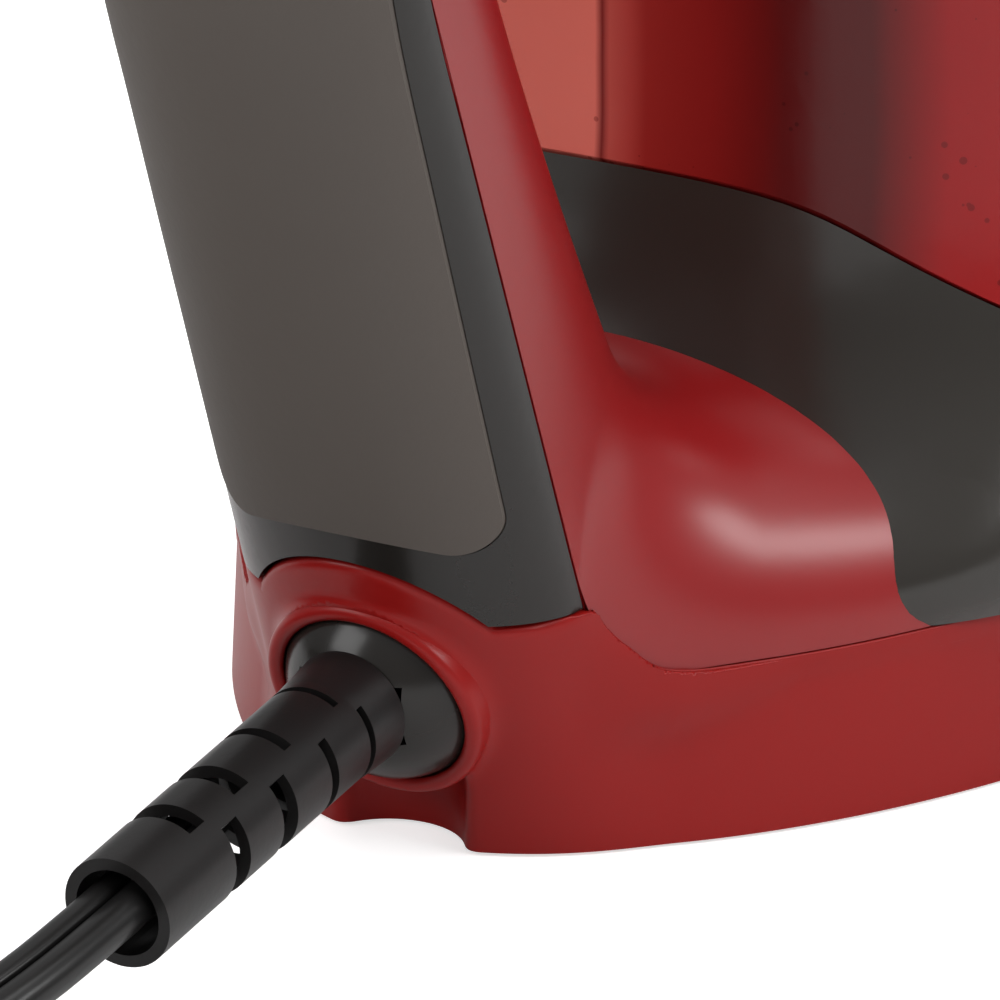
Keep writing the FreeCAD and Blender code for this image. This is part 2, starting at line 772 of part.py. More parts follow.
def make_bezel():
    body = sole_cylinder(dim("bezel_radius"), 0, DIAL_UP, SEAT, SEAT + 3.0)
    return body.cut(sole_cylinder(dim("dial_radius") + 0.4, 0, DIAL_UP, SEAT - 1, SEAT + 4))


def make_dial():
    low = SEAT + 0.4
    dial = sole_cylinder(dim("dial_radius"), 0, DIAL_UP, low, low + dim("dial_thickness"))
    flutes = []
    count = 24
    for i in range(count):
        turn = 2 * math.pi * i / count
        reach = dim("dial_radius") + 0.6
        flutes.append(sole_cylinder(1.4, reach * math.cos(turn), DIAL_UP + reach * math.sin(turn),
                                    low + 3.0, low + 20.0))
    dial = dial.cut(flutes)
    return dial.fuse(sole_cylinder(dim("shaft_radius"), 0, DIAL_UP, 19.3, low + 1))


publish("dial_bezel", make_bezel())
publish("temperature_dial", make_dial())


# Filling door and spray nozzle on the nose.

door = facet_box((-11.0, 11.0), (-9.0, 7.3), (0.4, 2.4))
door = door.fuse([
    facet_box((-8.6, 8.6), (7.0, DOOR_PIN), (0.5, 2.4)),
    cylinder(1.9, 17.2, on_facet(-8.6, DOOR_PIN, DOOR_PIN_RISE), X_AXIS),
    cylinder(1.2, 24.4, on_facet(-12.2, DOOR_PIN, DOOR_PIN_RISE), X_AXIS),
])
publish("filler_door", door)
publish("filler_seal", facet_box((-6.6, 6.6), (-4.3, 4.3), (-1.4, 0.4)))

nozzle = cylinder(3.0, 8.0, on_facet(0, NOZZLE_UP, -4), FACET_OUT)
nozzle = nozzle.fuse(cylinder(4.2, 1.6, on_facet(0, NOZZLE_UP, 0), FACET_OUT))
publish("spray_nozzle", nozzle.cut(cylinder(0.8, 12.0, on_facet(0, NOZZLE_UP, -6), FACET_OUT)))


# Soleplate and heating parts, drawn flat and laid against the iron's front.

def sole_outline(inset, heel, corner, reach=0.0):
    """Closed outline in the sole's own plane: heel line, round corners, one arc per side.

    A reach cuts it off short of the tip."""
    wide = W - dim("sole_margin") - inset
    centre = W - SIDE_RADIUS
    radius = wide - centre
    start = dim("taper_start") / math.cos(SOLE_LEAN)
    tip = 2.0
    tip_rise = start + math.sqrt(radius ** 2 - (tip - centre) ** 2)
    if reach:
        tip_rise = reach
        tip = centre + math.sqrt(radius ** 2 - (reach - start) ** 2)
    half = math.asin((tip_rise - start) / radius) / 2
    diagonal = corner * (1 - math.sqrt(0.5))
    curves = []
    for side in (1, -1):
        def at(x, y):
            return V(side * x, y, 0)
        curves.append(Part.Arc(at(wide - corner, heel), at(wide - diagonal, heel + diagonal),
                               at(wide, heel + corner)))
        curves.append(Part.LineSegment(at(wide, heel + corner), at(wide, start)))
        middle = at(centre + radius * math.cos(half), start + radius * math.sin(half))
        curves.append(Part.Arc(at(wide, start), middle, at(tip, tip_rise)))
    curves.append(Part.LineSegment(V(corner - wide, heel, 0), V(wide - corner, heel, 0)))
    curves.append(Part.Arc(V(tip, tip_rise, 0), V(0, tip_rise + 1.2, 0), V(-tip, tip_rise, 0)))
    return curves


def sole_slab(inset, heel, corner, low, high):
    outline = sole_outline(inset, heel, corner, dim("chamber_reach"))
    edges = [curve.toShape() for curve in outline]
    slab = closed_face(edges).extrude(V(0, 0, high - low))
    slab.translate(V(0, 0, low))
    return slab


def steam_hole_places():
    places = []
    for i in range(9):
        rise = 60.0 + 18.0 * i
        reach = min(38.0, 0.62 * half_width(rise))
        places += [(reach, rise), (-reach, rise)]
    for i in range(5):
        places.append((0.0, 196.0 + 9.0 * i))
    return places


def flat_body(label, curves, thickness, low):
    body = doc.addObject("PartDesign::Body", label)
    sketch = body.newObject("Sketcher::SketchObject", label + "_outline")
    plane = [item for item in body.Origin.OriginFeatures if item.Role == "XY_Plane"][0]
    sketch.AttachmentSupport = [(plane, "")]
    sketch.MapMode = "FlatFace"
    sketch.AttachmentOffset = FreeCAD.Placement(V(0, 0, low), FreeCAD.Rotation())
    for curve in curves:
        sketch.addGeometry(curve, False)
    pad = body.newObject("PartDesign::Pad", label + "_pad")
    pad.Profile = sketch
    pad.setExpression("Length", "Dimensions." + thickness)
    sketch.Visibility = False
    return body, plane


def drill(body, plane, label, circles, reversed_cut):
    sketch = body.newObject("Sketcher::SketchObject", label)
    sketch.AttachmentSupport = [(plane, "")]
    sketch.MapMode = "FlatFace"
    for x, rise, radius in circles:
        sketch.addGeometry(Part.Circle(V(x, rise, 0), Z_AXIS, radius), False)
    pocket = body.newObject("PartDesign::Pocket", label + "_cut")
    pocket.Profile = sketch
    pocket.Type = 1
    pocket.Midplane = False
    pocket.Reversed = reversed_cut
    return pocket


body, plane = flat_body("soleplate", sole_outline(0.0, dim("sole_heel"), dim("sole_corner")),
                        "sole_thickness", 0.0)
holes = [(x, rise, dim("steam_hole_radius")) for x, rise in steam_hole_places()]
drill(body, plane, "steam_holes", holes, True)
body.Placement = SOLE_PLACE
keep(body, "soleplate")

ELEMENT_DEPTH = CHAMBER_TOP - 3.6


def element_path(radius, extra):
    span = dim("element_half_span")
    bend = dim("element_bend")
    foot = dim("element_foot")
    tube = Part.makeTorus(span, radius, V(0, bend, ELEMENT_DEPTH), Z_AXIS)
    tube = tube.common(Part.makeBox(200, 200, 60, V(-100, bend, -10)))
    legs = []
    for x in (-span, span):
        legs.append(cylinder(radius, bend - foot + extra, V(x, foot - extra, ELEMENT_DEPTH), Y_AXIS))
    return tube.fuse(legs)


def make_chamber():
    block = sole_slab(dim("chamber_margin"), dim("chamber_heel"), 10.0,
                      dim("sole_thickness"), CHAMBER_TOP)
    radius = dim("element_radius") + 0.05
    span = dim("element_half_span")
    bend = dim("element_bend")
    block = block.cut(element_path(radius, 2.0))
    slot = ring(span + radius, span - radius, 10.0, V(0, bend, ELEMENT_DEPTH), Z_AXIS)
    slot = slot.common(Part.makeBox(200, 200, 60, V(-100, bend, -10)))
    tools = [slot]
    foot = dim("element_foot") - 2.0
    for x in (-span, span):
        tools.append(Part.makeBox(2 * radius, bend - foot, 10.0, V(x - radius, foot, ELEMENT_DEPTH)))
    tools.append(Part.makeBox(34, 66, 10.0, V(-17, 60, 8.5)))
    tools.append(Part.makeBox(12, 22, 10.0, V(VALVE[0] - 8, VALVE[1] - 12, 8.5)))
    for x, s in SOLE_SCREWS:
        tools.append(cylinder(dim("screw_radius") + 0.1, 20.0, V(x, s, 8.5), Z_AXIS))
    block = block.cut(tools)
    ribs = [Part.makeBox(24, 1.6, CHAMBER_TOP - 8.5, V(-17 + 10 * (i % 2), 70 + 11 * i, 8.5))
            for i in range(5)]
    return block.fuse(ribs)


chamber = publish("steam_chamber", make_chamber())
chamber.Placement = SOLE_PLACE

PINS = [(x, dim("element_foot") + 4.0) for x in (-dim("element_half_span"), dim("element_half_span"))]


def make_element():
    tube = element_path(dim("element_radius"), 0.0)
    pins = [cylinder(1.5, 11.0, V(x, s, ELEMENT_DEPTH), Z_AXIS) for x, s in PINS]
    return tube.fuse(pins)


element = publish("heating_element", make_element())
element.Placement = SOLE_PLACE


def plate_holes():
    places = [(0.0, DIAL_UP, dim("thermostat_radius") + 0.4), (VALVE[0], VALVE[1], 3.9)]
    places += [(x, s, 2.4) for x, s in PINS]
    places += [(x, s, dim("screw_radius") + 0.1) for x, s in SOLE_SCREWS]
    return places


for label, inset, heel, low, thickness in (
        ("chamber_cover", dim("chamber_margin") + 1.5, 34.0, CHAMBER_TOP, "plate_cover"),
        ("heat_shield", dim("chamber_margin") - 2.0, 30.0, COVER_TOP, "shield_thickness")):
    outline = sole_outline(inset, heel, 10.0, dim("chamber_reach"))
    body, plane = flat_body(label, outline, thickness, low)
    drill(body, plane, label + "_holes", plate_holes(), True)
    body.Placement = SOLE_PLACE
    keep(body, label)


def primitive_cylinder(label, radius, height, place):
    """A plain cylinder bound to two of the sheet's sizes."""
    item = doc.addObject("Part::Cylinder", label)
    item.setExpression("Radius", "Dimensions." + radius)
    item.setExpression("Height", "Dimensions." + height)
    item.Placement = place
    return item


place = SOLE_PLACE.multiply(FreeCAD.Placement(V(0, DIAL_UP, CHAMBER_TOP), FreeCAD.Rotation()))
keep(primitive_cylinder("thermostat", "thermostat_radius", "thermostat_height", place), "thermostat")

fuse = Part.makeBox(10, 4.4, 2.6, V(-5, 44, SHIELD_TOP))
fuse_part = publish("thermal_fuse", fuse)
fuse_part.Placement = SOLE_PLACE

valve = sole_cylinder(3.5, *VALVE, CHAMBER_TOP, TANK_FLOOR + 4.0)
publish("steam_valve", valve.cut(sole_cylinder(1.2, *VALVE, CHAMBER_TOP - 1, TANK_FLOOR + 5)))

for number, (x, s) in enumerate(SOLE_SCREWS, start=1):
    screw = sole_cylinder(dim("screw_radius"), x, s, 9.0, FLOOR_OUTER - 1.0)
    screw = screw.fuse(sole_cylinder(dim("screw_head"), x, s, FLOOR_OUTER - 2.1, FLOOR_OUTER - 0.2))
    publish("sole_screw_%d" % number, screw)


# Cord exit parts.

BORE = 4.0
ARM_X = (4.65, 6.25)
ARM_PIN = 1.3
ARM_HALF = 1.7


def arm_wedge(half_height_in, half_height_out, low_x, high_x, reach):
    """A wedge from the ball's centre along the guard's axis."""
    across = V(0, GUARD.z, -GUARD.y)
    start = BALL + X_AXIS * low_x
    corners = [
        start + across * half_height_in,
        start + GUARD * reach + across * half_height_out,
        start + GUARD * reach - across * half_height_out,
        start - across * half_height_in,
    ]
    return polygon_face(corners).extrude(X_AXIS * (high_x - low_x))


def mirrored(shape):
    return shape.mirror(V(0, 0, 0), X_AXIS)


def make_ball():
    ball = Part.makeSphere(dim("ball_radius"), BALL, GUARD)
    ball = ball.cut(cylinder(BORE, 40.0, BALL - GUARD * 20, GUARD))
    low, high = ARM_X[0] - 0.25, ARM_X[1] + 0.25
    slot = arm_wedge(2.2, 4.3, low, high, 16.0)
    slot = slot.fuse(cylinder(3.0, high - low, BALL + X_AXIS * low, X_AXIS))
    pin = cylinder(ARM_PIN, high - low + 0.6, BALL + X_AXIS * (low - 0.3), X_AXIS)
    ball = ball.cut([slot, mirrored(slot)])
    return ball.fuse([pin, mirrored(pin)])


def seat_radius():
    return dim("ball_radius") + dim("ball_gap")


def make_guard():
    reach = dim("guard_reach")
    radius = dim("guard_radius")
    body = cylinder(radius, reach - 8.0, BALL + GUARD * 8.0, GUARD)
    flare = Part.makeCone(dim("guard_flare"), radius, 9.0, BALL + GUARD * 8.6, GUARD)
    guard = body.fuse(flare).cut(cylinder(dim("guard_bore"), reach + 4.0, BALL, GUARD))
    guard = guard.cut(Part.makeSphere(seat_radius(), BALL, GUARD))
    bore = cylinder(ARM_PIN + dim("running_gap"), 6.0, BALL + X_AXIS * 3.0, X_AXIS)
    thick = ARM_X[1] - ARM_X[0]
    arm = arm_wedge(ARM_HALF, ARM_HALF, *ARM_X, 14.5)
    arm = arm.fuse(cylinder(2.6, thick, BALL + X_AXIS * ARM_X[0], X_AXIS))
    arm = arm.cut(bore)
    guard = guard.fuse([arm, mirrored(arm)])
    return guard.cut(guard_slots())


SLOTS = {
    -42.0: [(17.0, 1.0), (25.0, 1.5), (34.5, 3.0), (44.5, 3.0)],
    138.0: [(19.3, 1.0), (29.6, 1.5), (39.4, 3.0), (48.6, 3.0)],
}


def guard_slots():
    """Half-ring slots on two opposite sides of the sleeve."""
    up = V(0, GUARD.z, -GUARD.y)
    tools = []
    for roll, slots in SLOTS.items():
        turn = math.radians(roll)
        side = X_AXIS * math.cos(turn) + up * math.sin(turn)
        for distance, wide in slots:
            disc = cylinder(dim("guard_radius") + 3.0, wide, BALL + GUARD * (distance - wide / 2), GUARD)
            disc = disc.cut(cylinder(dim("guard_bore") - 0.5, wide, BALL + GUARD * (distance - wide / 2), GUARD))
            block = Part.makeBox(20, 40, 200)
            rotation = FreeCAD.Rotation(side, GUARD.cross(side), GUARD, "XZY")
            base = BALL + side * 0.9 - GUARD.cross(side) * 20 - GUARD * 20
            block.Placement = FreeCAD.Placement(base, rotation)
            tools.append(disc.common(block))
    return tools


def make_retainer():
    back = -OUT
    body = ring(12.6, 8.0, 8.0, BALL + back * 7.0, back)
    return body.cut(Part.makeSphere(seat_radius(), BALL, GUARD))


publish("cord_ball", make_ball())
publish("ball_retainer", make_retainer())
publish("cord_guard", make_guard())

publish("terminal_block", Part.makeBox(34, 14, 11, V(-17, 44, WALL)))
publish("cord_clamp", Part.makeBox(22, 7, 7, V(-11, 30, WALL)))
for number, x in enumerate(HEEL_SCREWS_X, start=1):
    screw = cylinder(dim("screw_radius"), 22.0, V(x, HEEL_SCREWS_Y, 2.2), Z_AXIS)
    screw = screw.fuse(cylinder(dim("screw_head"), 1.8, V(x, HEEL_SCREWS_Y, 2.2), Z_AXIS))
    publish("heel_screw_%d" % number, screw)


# Cord: out of the sleeve, down to the table and into a put-away coil.

CORD = dim("cord_width") / 2
CORD_START = BALL + GUARD * dim("cord_lead_start")
COIL_ENTRY_X = dim("coil_x") + dim("cord_width")
COIL_FRONT = dim("coil_y") - dim("coil_radius")
CORD_ROUTE = [
    CORD_START,
    V(-1.0, -82.0, 10.6),
    V(-8.0, -106.0, 5.6),
    V(-38.0, COIL_FRONT, CORD),
    V(COIL_ENTRY_X, COIL_FRONT, CORD),
]


def arc_between(start, tangent, end):
    chord = end - start
    along = V(chord).normalize()
    bulge = tangent - along * tangent.dot(along)
    if bulge.Length < 1e-7:
        return Part.makeLine(start, end)
    angle = math.acos(max(-1.0, min(1.0, tangent.dot(along))))
    middle = (start + end) * 0.5 + bulge.normalize() * (chord.Length / 2 * math.tan(angle / 2))
    return Part.Arc(start, middle, end).toShape()


def biarc(start, start_tangent, end, end_tangent):
    """Two tangent arcs between two places and directions."""
    gap = end - start
    total = start_tangent + end_tangent
    share = 2 * (1 - start_tangent.dot(end_tangent))
    root = math.sqrt(gap.dot(total) ** 2 + share * gap.dot(gap))
    reach = (root - gap.dot(total)) / share
    middle = (start + end + (start_tangent - end_tangent) * reach) * 0.5
    first = arc_between(start, start_tangent, middle)
    corner = start + start_tangent * reach
    tangent = (middle - corner).normalize()
    return [first, arc_between(middle, tangent, end)]


def rounded_route(points):
    """Straight runs joined by tangent arcs, each as large as its two runs allow."""
    edges = []
    here = points[0]
    for before, corner, after in zip(points, points[1:], points[2:]):
        run_in = corner - before
        run_out = after - corner
        turn = run_in.getAngle(run_out)
        reach = 0.45 * min(run_in.Length, run_out.Length)
        radius = reach / math.tan(turn / 2)
        print("cord radius %.1f" % radius)
        arc_start = corner - V(run_in).normalize() * reach
        arc_end = corner + V(run_out).normalize() * reach
        edges.append(Part.makeLine(here, arc_start))
        edges.append(arc_between(arc_start, V(run_in).normalize(), arc_end))
        here = arc_end
    edges.append(Part.makeLine(here, points[-1]))
    return edges


def tube(edges, radius, label):
    path = Part.Wire(edges)
    start = path.Edges[0]
    tangent = start.tangentAt(start.FirstParameter)
    profile = Part.Wire(Part.makeCircle(radius, start.valueAt(start.FirstParameter), tangent))
    shape = path.makePipeShell([profile], True, False)
    print(label, "length %.1f" % path.Length,
          "volume ratio %.4f" % (shape.Volume / (math.pi * radius ** 2 * path.Length)))
    return shape


def smooth(share):
    share = max(0.0, min(1.0, share))
    return 3 * share ** 2 - 2 * share ** 3


COIL_TURNS = dim("coil_turns")
SECOND_LAYER = COIL_TURNS + 0.5
LIFT_OFF = 2 * COIL_TURNS + 0.25
COIL_END = LIFT_OFF + 0.5
PLUG_RADIUS = 12.5
PLUG_RISE = CORD + dim("coil_layer") + CORD + PLUG_RADIUS
PLUG_INWARDS = 15.0


def coil_point(turn):
    """Inwards on the table, up one layer, outwards above, then onto the coil with the plug."""
    pitch = dim("coil_pitch")
    inner = dim("coil_radius") - COIL_TURNS * pitch
    upper = CORD + dim("coil_layer")
    climb = (turn - COIL_TURNS) * 2
    if turn <= COIL_TURNS:
        radius = dim("coil_radius") - pitch * turn
    elif turn <= SECOND_LAYER:
        radius = inner - pitch / 2 * climb * (1 - climb)
    else:
        radius = inner + pitch * (turn - SECOND_LAYER)
    lift = (turn - LIFT_OFF) * 2
    height = CORD + dim("coil_layer") * smooth(climb) + (PLUG_RISE - upper) * smooth(lift * 1.6)
    radius -= PLUG_INWARDS * smooth((lift - 0.25) / 0.75)
    angle = -math.pi / 2 - 2 * math.pi * turn
    return V(dim("coil_x") + radius * math.cos(angle), dim("coil_y") + radius * math.sin(angle), height)


def coil_tangent(turn):
    step = 1e-4
    return (coil_point(turn + step) - coil_point(turn - step)).normalize()


def coil_edges():
    start = V(COIL_ENTRY_X, COIL_FRONT, CORD)
    edges = [Part.makeLine(start, V(dim("coil_x"), COIL_FRONT, CORD))]
    quarters = round(COIL_END * 4)
    for i in range(quarters):
        first, second = i / 4, (i + 1) / 4
        tangent = V(-1, 0, 0) if i == 0 else coil_tangent(first)
        edges += biarc(coil_point(first), tangent, coil_point(second), coil_tangent(second))
    last = coil_point(COIL_END)
    edges.append(Part.makeLine(last, last + coil_tangent(COIL_END) * dim("cord_width")))
    return edges


def least_self_gap(edges, width):
    """Least clearance between stretches of the line more than a few widths apart."""
    path = Part.Wire(edges)
    count = int(path.Length / 2)
    points = path.discretize(count)
    skip = int(width * 4 / 2)
    least = 1e9
    for i in range(count):
        for j in range(i + skip, count):
            least = min(least, points[i].distanceToPoint(points[j]))
    return least - width


publish("cord", tube(rounded_route(CORD_ROUTE), CORD, "cord"))
coil_line = coil_edges()
print("coil least gap %.2f" % least_self_gap(coil_line, dim("cord_width")))
publish("cord_coil", tube(coil_line, CORD, "coil"))

PLUG_START = coil_point(COIL_END) + coil_tangent(COIL_END) * dim("cord_width")
PLUG_WAY = coil_tangent(COIL_END)
PLUG_ACROSS = PLUG_WAY.cross(Z_AXIS)
neck = Part.makeCone(5.0, 8.0, 14.0, PLUG_START, PLUG_WAY)
grip = cylinder(PLUG_RADIUS, 22.0, PLUG_START + PLUG_WAY * 13.0, PLUG_WAY)
publish("plug_body", neck.fuse(grip))
for number, side in enumerate((-9.5, 9.5), start=1):
    base = PLUG_START + PLUG_WAY * 35.0 + PLUG_ACROSS * side
    publish("plug_prong_%d" % number, cylinder(2.4, 19.0, base, PLUG_WAY))


doc.recompute()
for item in doc.Objects:
    if "Invalid" in item.State or "Error" in item.State:
        raise RuntimeError("feature failed: " + item.Label)
os.makedirs("parts", exist_ok=True)
for part in subparts:
    place = FreeCAD.Placement(part.Placement)
    place.Base = place.Base - Y_AXIS * dim("rest_depth")
    part.Placement = place
    shape = part.Shape
    if shape.isNull() or not shape.isValid() or len(shape.Solids) != 1:
        raise RuntimeError("not one valid solid: " + part.Label)
    shape.exportStep("parts/%s.step" % part.Label)
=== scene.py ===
import json
import math

import bmesh
import bpy
import numpy as np
from mathutils import Matrix, Vector


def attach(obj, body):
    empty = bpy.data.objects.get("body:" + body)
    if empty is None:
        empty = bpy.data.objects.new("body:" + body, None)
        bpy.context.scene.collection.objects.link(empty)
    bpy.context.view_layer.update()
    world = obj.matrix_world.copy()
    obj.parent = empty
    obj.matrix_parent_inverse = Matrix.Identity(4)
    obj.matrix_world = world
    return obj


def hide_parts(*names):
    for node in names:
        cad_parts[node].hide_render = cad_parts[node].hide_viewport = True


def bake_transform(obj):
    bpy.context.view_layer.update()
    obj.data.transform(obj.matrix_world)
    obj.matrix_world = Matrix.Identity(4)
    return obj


# Steam iron standing on its heel, seen from behind and to its right.

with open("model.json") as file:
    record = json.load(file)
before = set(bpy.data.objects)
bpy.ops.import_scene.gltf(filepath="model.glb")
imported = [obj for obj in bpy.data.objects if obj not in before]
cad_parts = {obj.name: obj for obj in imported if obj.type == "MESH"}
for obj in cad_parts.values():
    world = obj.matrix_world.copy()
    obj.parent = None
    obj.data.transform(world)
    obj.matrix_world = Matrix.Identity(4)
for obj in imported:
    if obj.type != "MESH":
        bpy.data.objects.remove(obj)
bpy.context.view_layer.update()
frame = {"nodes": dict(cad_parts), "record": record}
nodes = frame["nodes"]

MM = 0.001
REST_DEPTH = 40.0
UP, DOWN = (0, 0, 1), (0, 0, -1)


def at(x, y, z):
    """A place given in millimetres, with y measured from the heel's rear edge."""
    return Vector((x, y - REST_DEPTH, z)) * MM


def add_object(name, data):
    piece = bpy.data.objects.new(name, data)
    bpy.context.scene.collection.objects.link(piece)
    return piece


# Camera

CAMERA_PLACE = at(559.53, -955.64, 462.46)
CAMERA_RIGHT = Vector((0.8676, 0.4973, 0.0))
CAMERA_UP = Vector((-0.1773, 0.3094, 0.9343))
CAMERA_BACK = CAMERA_RIGHT.cross(CAMERA_UP)
FOCAL_LENGTH = 389.1
SENSOR_WIDTH = 36.0
NEAREST, FARTHEST = 0.05, 20.0


def make_camera():
    data = bpy.data.cameras.new("camera")
    data.lens = FOCAL_LENGTH
    data.sensor_width = SENSOR_WIDTH
    data.clip_start, data.clip_end = NEAREST, FARTHEST
    camera = add_object("camera", data)
    axes = Matrix((CAMERA_RIGHT, CAMERA_UP, CAMERA_BACK)).transposed().to_4x4()
    camera.matrix_world = Matrix.Translation(CAMERA_PLACE) @ axes
    bpy.context.scene.camera = camera


# Materials. Colours are linear, scales are per metre, and heights and widths are in metres.

def new_material(name):
    material = bpy.data.materials.new(name)
    material.use_nodes = True
    tree = material.node_tree
    return material, tree, tree.nodes["Principled BSDF"]


def noise(tree, scale, detail):
    coords = tree.nodes.new("ShaderNodeTexCoord")
    texture = tree.nodes.new("ShaderNodeTexNoise")
    texture.inputs["Scale"].default_value = scale
    texture.inputs["Detail"].default_value = detail
    tree.links.new(coords.outputs["Object"], texture.inputs["Vector"])
    return texture.outputs["Fac"]


def ramp(tree, source, low, high, start=0.0, end=1.0):
    """The source's stretch from start to end, spread from low to high."""
    node = tree.nodes.new("ShaderNodeMapRange")
    node.inputs["From Min"].default_value = start
    node.inputs["From Max"].default_value = end
    node.inputs["To Min"].default_value = low
    node.inputs["To Max"].default_value = high
    tree.links.new(source, node.inputs["Value"])
    return node.outputs["Result"]


def mix_colour(tree, factor, first, second):
    node = tree.nodes.new("ShaderNodeMix")
    node.data_type = "RGBA"
    node.inputs["A"].default_value = (*first, 1)
    node.inputs["B"].default_value = (*second, 1)
    tree.links.new(factor, node.inputs["Factor"])
    return node.outputs["Result"]


def bump(tree, shader, source, strength, distance):
    node = tree.nodes.new("ShaderNodeBump")
    node.inputs["Strength"].default_value = strength
    node.inputs["Distance"].default_value = distance
    tree.links.new(source, node.inputs["Height"])
    tree.links.new(node.outputs["Normal"], shader.inputs["Normal"])


PATCH_SCALE = 18.0
PATCH_GLOSS = (0.9, 1.12)
GRAIN_SCALE = 900.0
GRAIN_HEIGHT = 0.0004
COAT_ROUGHNESS = 0.2


def moulded(name, colour, shade, roughness, grain=0.02, coat=0.0, specular=0.5):
    """Moulded plastic: slight colour variation, uneven gloss and a fine grain."""
    material, tree, shader = new_material(name)
    patches = noise(tree, PATCH_SCALE, detail=3.0)
    fine = noise(tree, GRAIN_SCALE, detail=2.0)
    glossy, dull = (roughness * share for share in PATCH_GLOSS)
    tree.links.new(mix_colour(tree, patches, colour, shade), shader.inputs["Base Color"])
    tree.links.new(ramp(tree, patches, glossy, dull), shader.inputs["Roughness"])
    bump(tree, shader, fine, grain, GRAIN_HEIGHT)
    shader.inputs["Specular IOR Level"].default_value = specular
    shader.inputs["Coat Weight"].default_value = coat
    shader.inputs["Coat Roughness"].default_value = COAT_ROUGHNESS
    return material


METAL_SHADE = 0.85
METAL_GLOSS = (0.8, 1.2)
METAL_BUMP = 0.05
METAL_HEIGHT = 0.0003


def metal(name, colour, roughness, scale=400.0):
    """Bare metal: a grain that varies its colour, its gloss and its surface."""
    material, tree, shader = new_material(name)
    grain = noise(tree, scale, detail=4.0)
    darker = tuple(value * METAL_SHADE for value in colour)
    glossy, dull = (roughness * share for share in METAL_GLOSS)
    tree.links.new(mix_colour(tree, grain, colour, darker), shader.inputs["Base Color"])
    tree.links.new(ramp(tree, grain, glossy, dull), shader.inputs["Roughness"])
    shader.inputs["Metallic"].default_value = 1.0
    bump(tree, shader, grain, METAL_BUMP, METAL_HEIGHT)
    return material


# Slot, then colour, colour of the darker patches, roughness, and how it differs from plain plastic
PLASTICS = {
    "red_shell": ((0.25, 0.005, 0.006), (0.22, 0.004, 0.005), 0.32, {"coat": 0.1, "specular": 0.45}),
    "red_heel": ((0.27, 0.007, 0.006), (0.24, 0.006, 0.005), 0.32, {"coat": 0.05, "specular": 0.2}),
    "band": ((0.026, 0.023, 0.019), (0.022, 0.019, 0.016), 0.24, {"coat": 0.2, "specular": 0.4}),
    "black_gloss": ((0.015, 0.013, 0.011), (0.012, 0.010, 0.009), 0.22, {"coat": 0.1, "specular": 0.3}),
    "grey_grip": ((0.088, 0.074, 0.065), (0.080, 0.067, 0.059), 0.6, {"grain": 0.06, "specular": 0.25}),
    "black_matte": ((0.020, 0.019, 0.018), (0.015, 0.014, 0.014), 0.4, {}),
    "white_plastic": ((0.75, 0.74, 0.70), (0.70, 0.69, 0.66), 0.45, {}),
    "dial": ((0.05, 0.05, 0.05), (0.04, 0.04, 0.04), 0.35, {}),
    "lens": ((0.8, 0.3, 0.04), (0.7, 0.22, 0.03), 0.12, {}),
    "seal_rubber": ((0.3, 0.3, 0.3), (0.25, 0.25, 0.25), 0.6, {}),
    "black_rubber": ((0.010, 0.009, 0.009), (0.008, 0.007, 0.007), 0.36, {"grain": 0.05, "specular": 0.3}),
    "cord_black": ((0.008, 0.007, 0.007), (0.006, 0.006, 0.006), 0.3, {"specular": 0.35}),
}

# Slot, then colour, roughness, and how it differs from plain metal
METALS = {
    "steel_sole": ((0.62, 0.62, 0.63), 0.22, {}),
    "cast_alloy": ((0.45, 0.45, 0.46), 0.5, {"scale": 120.0}),
    "element_steel": ((0.25, 0.24, 0.23), 0.4, {}),
    "plate_steel": ((0.5, 0.5, 0.51), 0.35, {}),
    "brass_parts": ((0.7, 0.5, 0.2), 0.3, {}),
    "screw_steel": ((0.5, 0.5, 0.52), 0.3, {}),
}

# Painted light and shade seen through the clear tank, across it from its left side to its right:
# millimetres from its middle, and colour. The dark line near the middle is the seam
TANK_LIGHT_AND_SHADE = [
    (-60, (0.30, 0.012, 0.012)), (-26, (0.30, 0.012, 0.012)), (-14, (0.62, 0.130, 0.100)),
    (-1.2, (0.68, 0.150, 0.115)), (-0.7, (0.18, 0.012, 0.010)), (-0.3, (0.16, 0.010, 0.009)),
    (0.2, (0.46, 0.070, 0.055)), (3.0, (0.38, 0.040, 0.032)), (5, (0.28, 0.016, 0.013)),
    (13, (0.22, 0.010, 0.009)), (22, (0.090, 0.004, 0.004)), (32, (0.080, 0.004, 0.004)),
    (40, (0.27, 0.008, 0.009)), (60, (0.28, 0.010, 0.010)),
]
TANK_HALF_WIDTH = 60
WAVE_SCALE = 60.0
WAVE_SHIFT = 0.0008
DROP_SCALE = 480.0
DROP_LARGEST = 0.40
DROP_TINT = (0.62, 0.5, 0.5, 1)
DROP_BUMP, DROP_HEIGHT = 0.06, 0.0003
WET_SCALE = 55.0
WET_FROM, WET_TO = 0.47, 0.66


def painted_tank_light(tree, across):
    """Painted light and shade across the tank, with edges that wander a little."""
    shift = tree.nodes.new("ShaderNodeMath")
    shift.operation = "MULTIPLY_ADD"
    tree.links.new(noise(tree, WAVE_SCALE, detail=3.0), shift.inputs[0])
    shift.inputs[1].default_value = WAVE_SHIFT
    tree.links.new(across, shift.inputs[2])
    reach = TANK_HALF_WIDTH * MM
    bands = tree.nodes.new("ShaderNodeValToRGB")
    tree.links.new(ramp(tree, shift.outputs[0], 0.0, 1.0, -reach, reach), bands.inputs["Fac"])
    stops = bands.color_ramp.elements
    for i, (x, colour) in enumerate(TANK_LIGHT_AND_SHADE):
        share = (x + TANK_HALF_WIDTH) / (2 * TANK_HALF_WIDTH)
        stop = stops[i] if i < 2 else stops.new(share)
        stop.position = share
        stop.color = (*colour, 1)
    return bands.outputs["Color"]


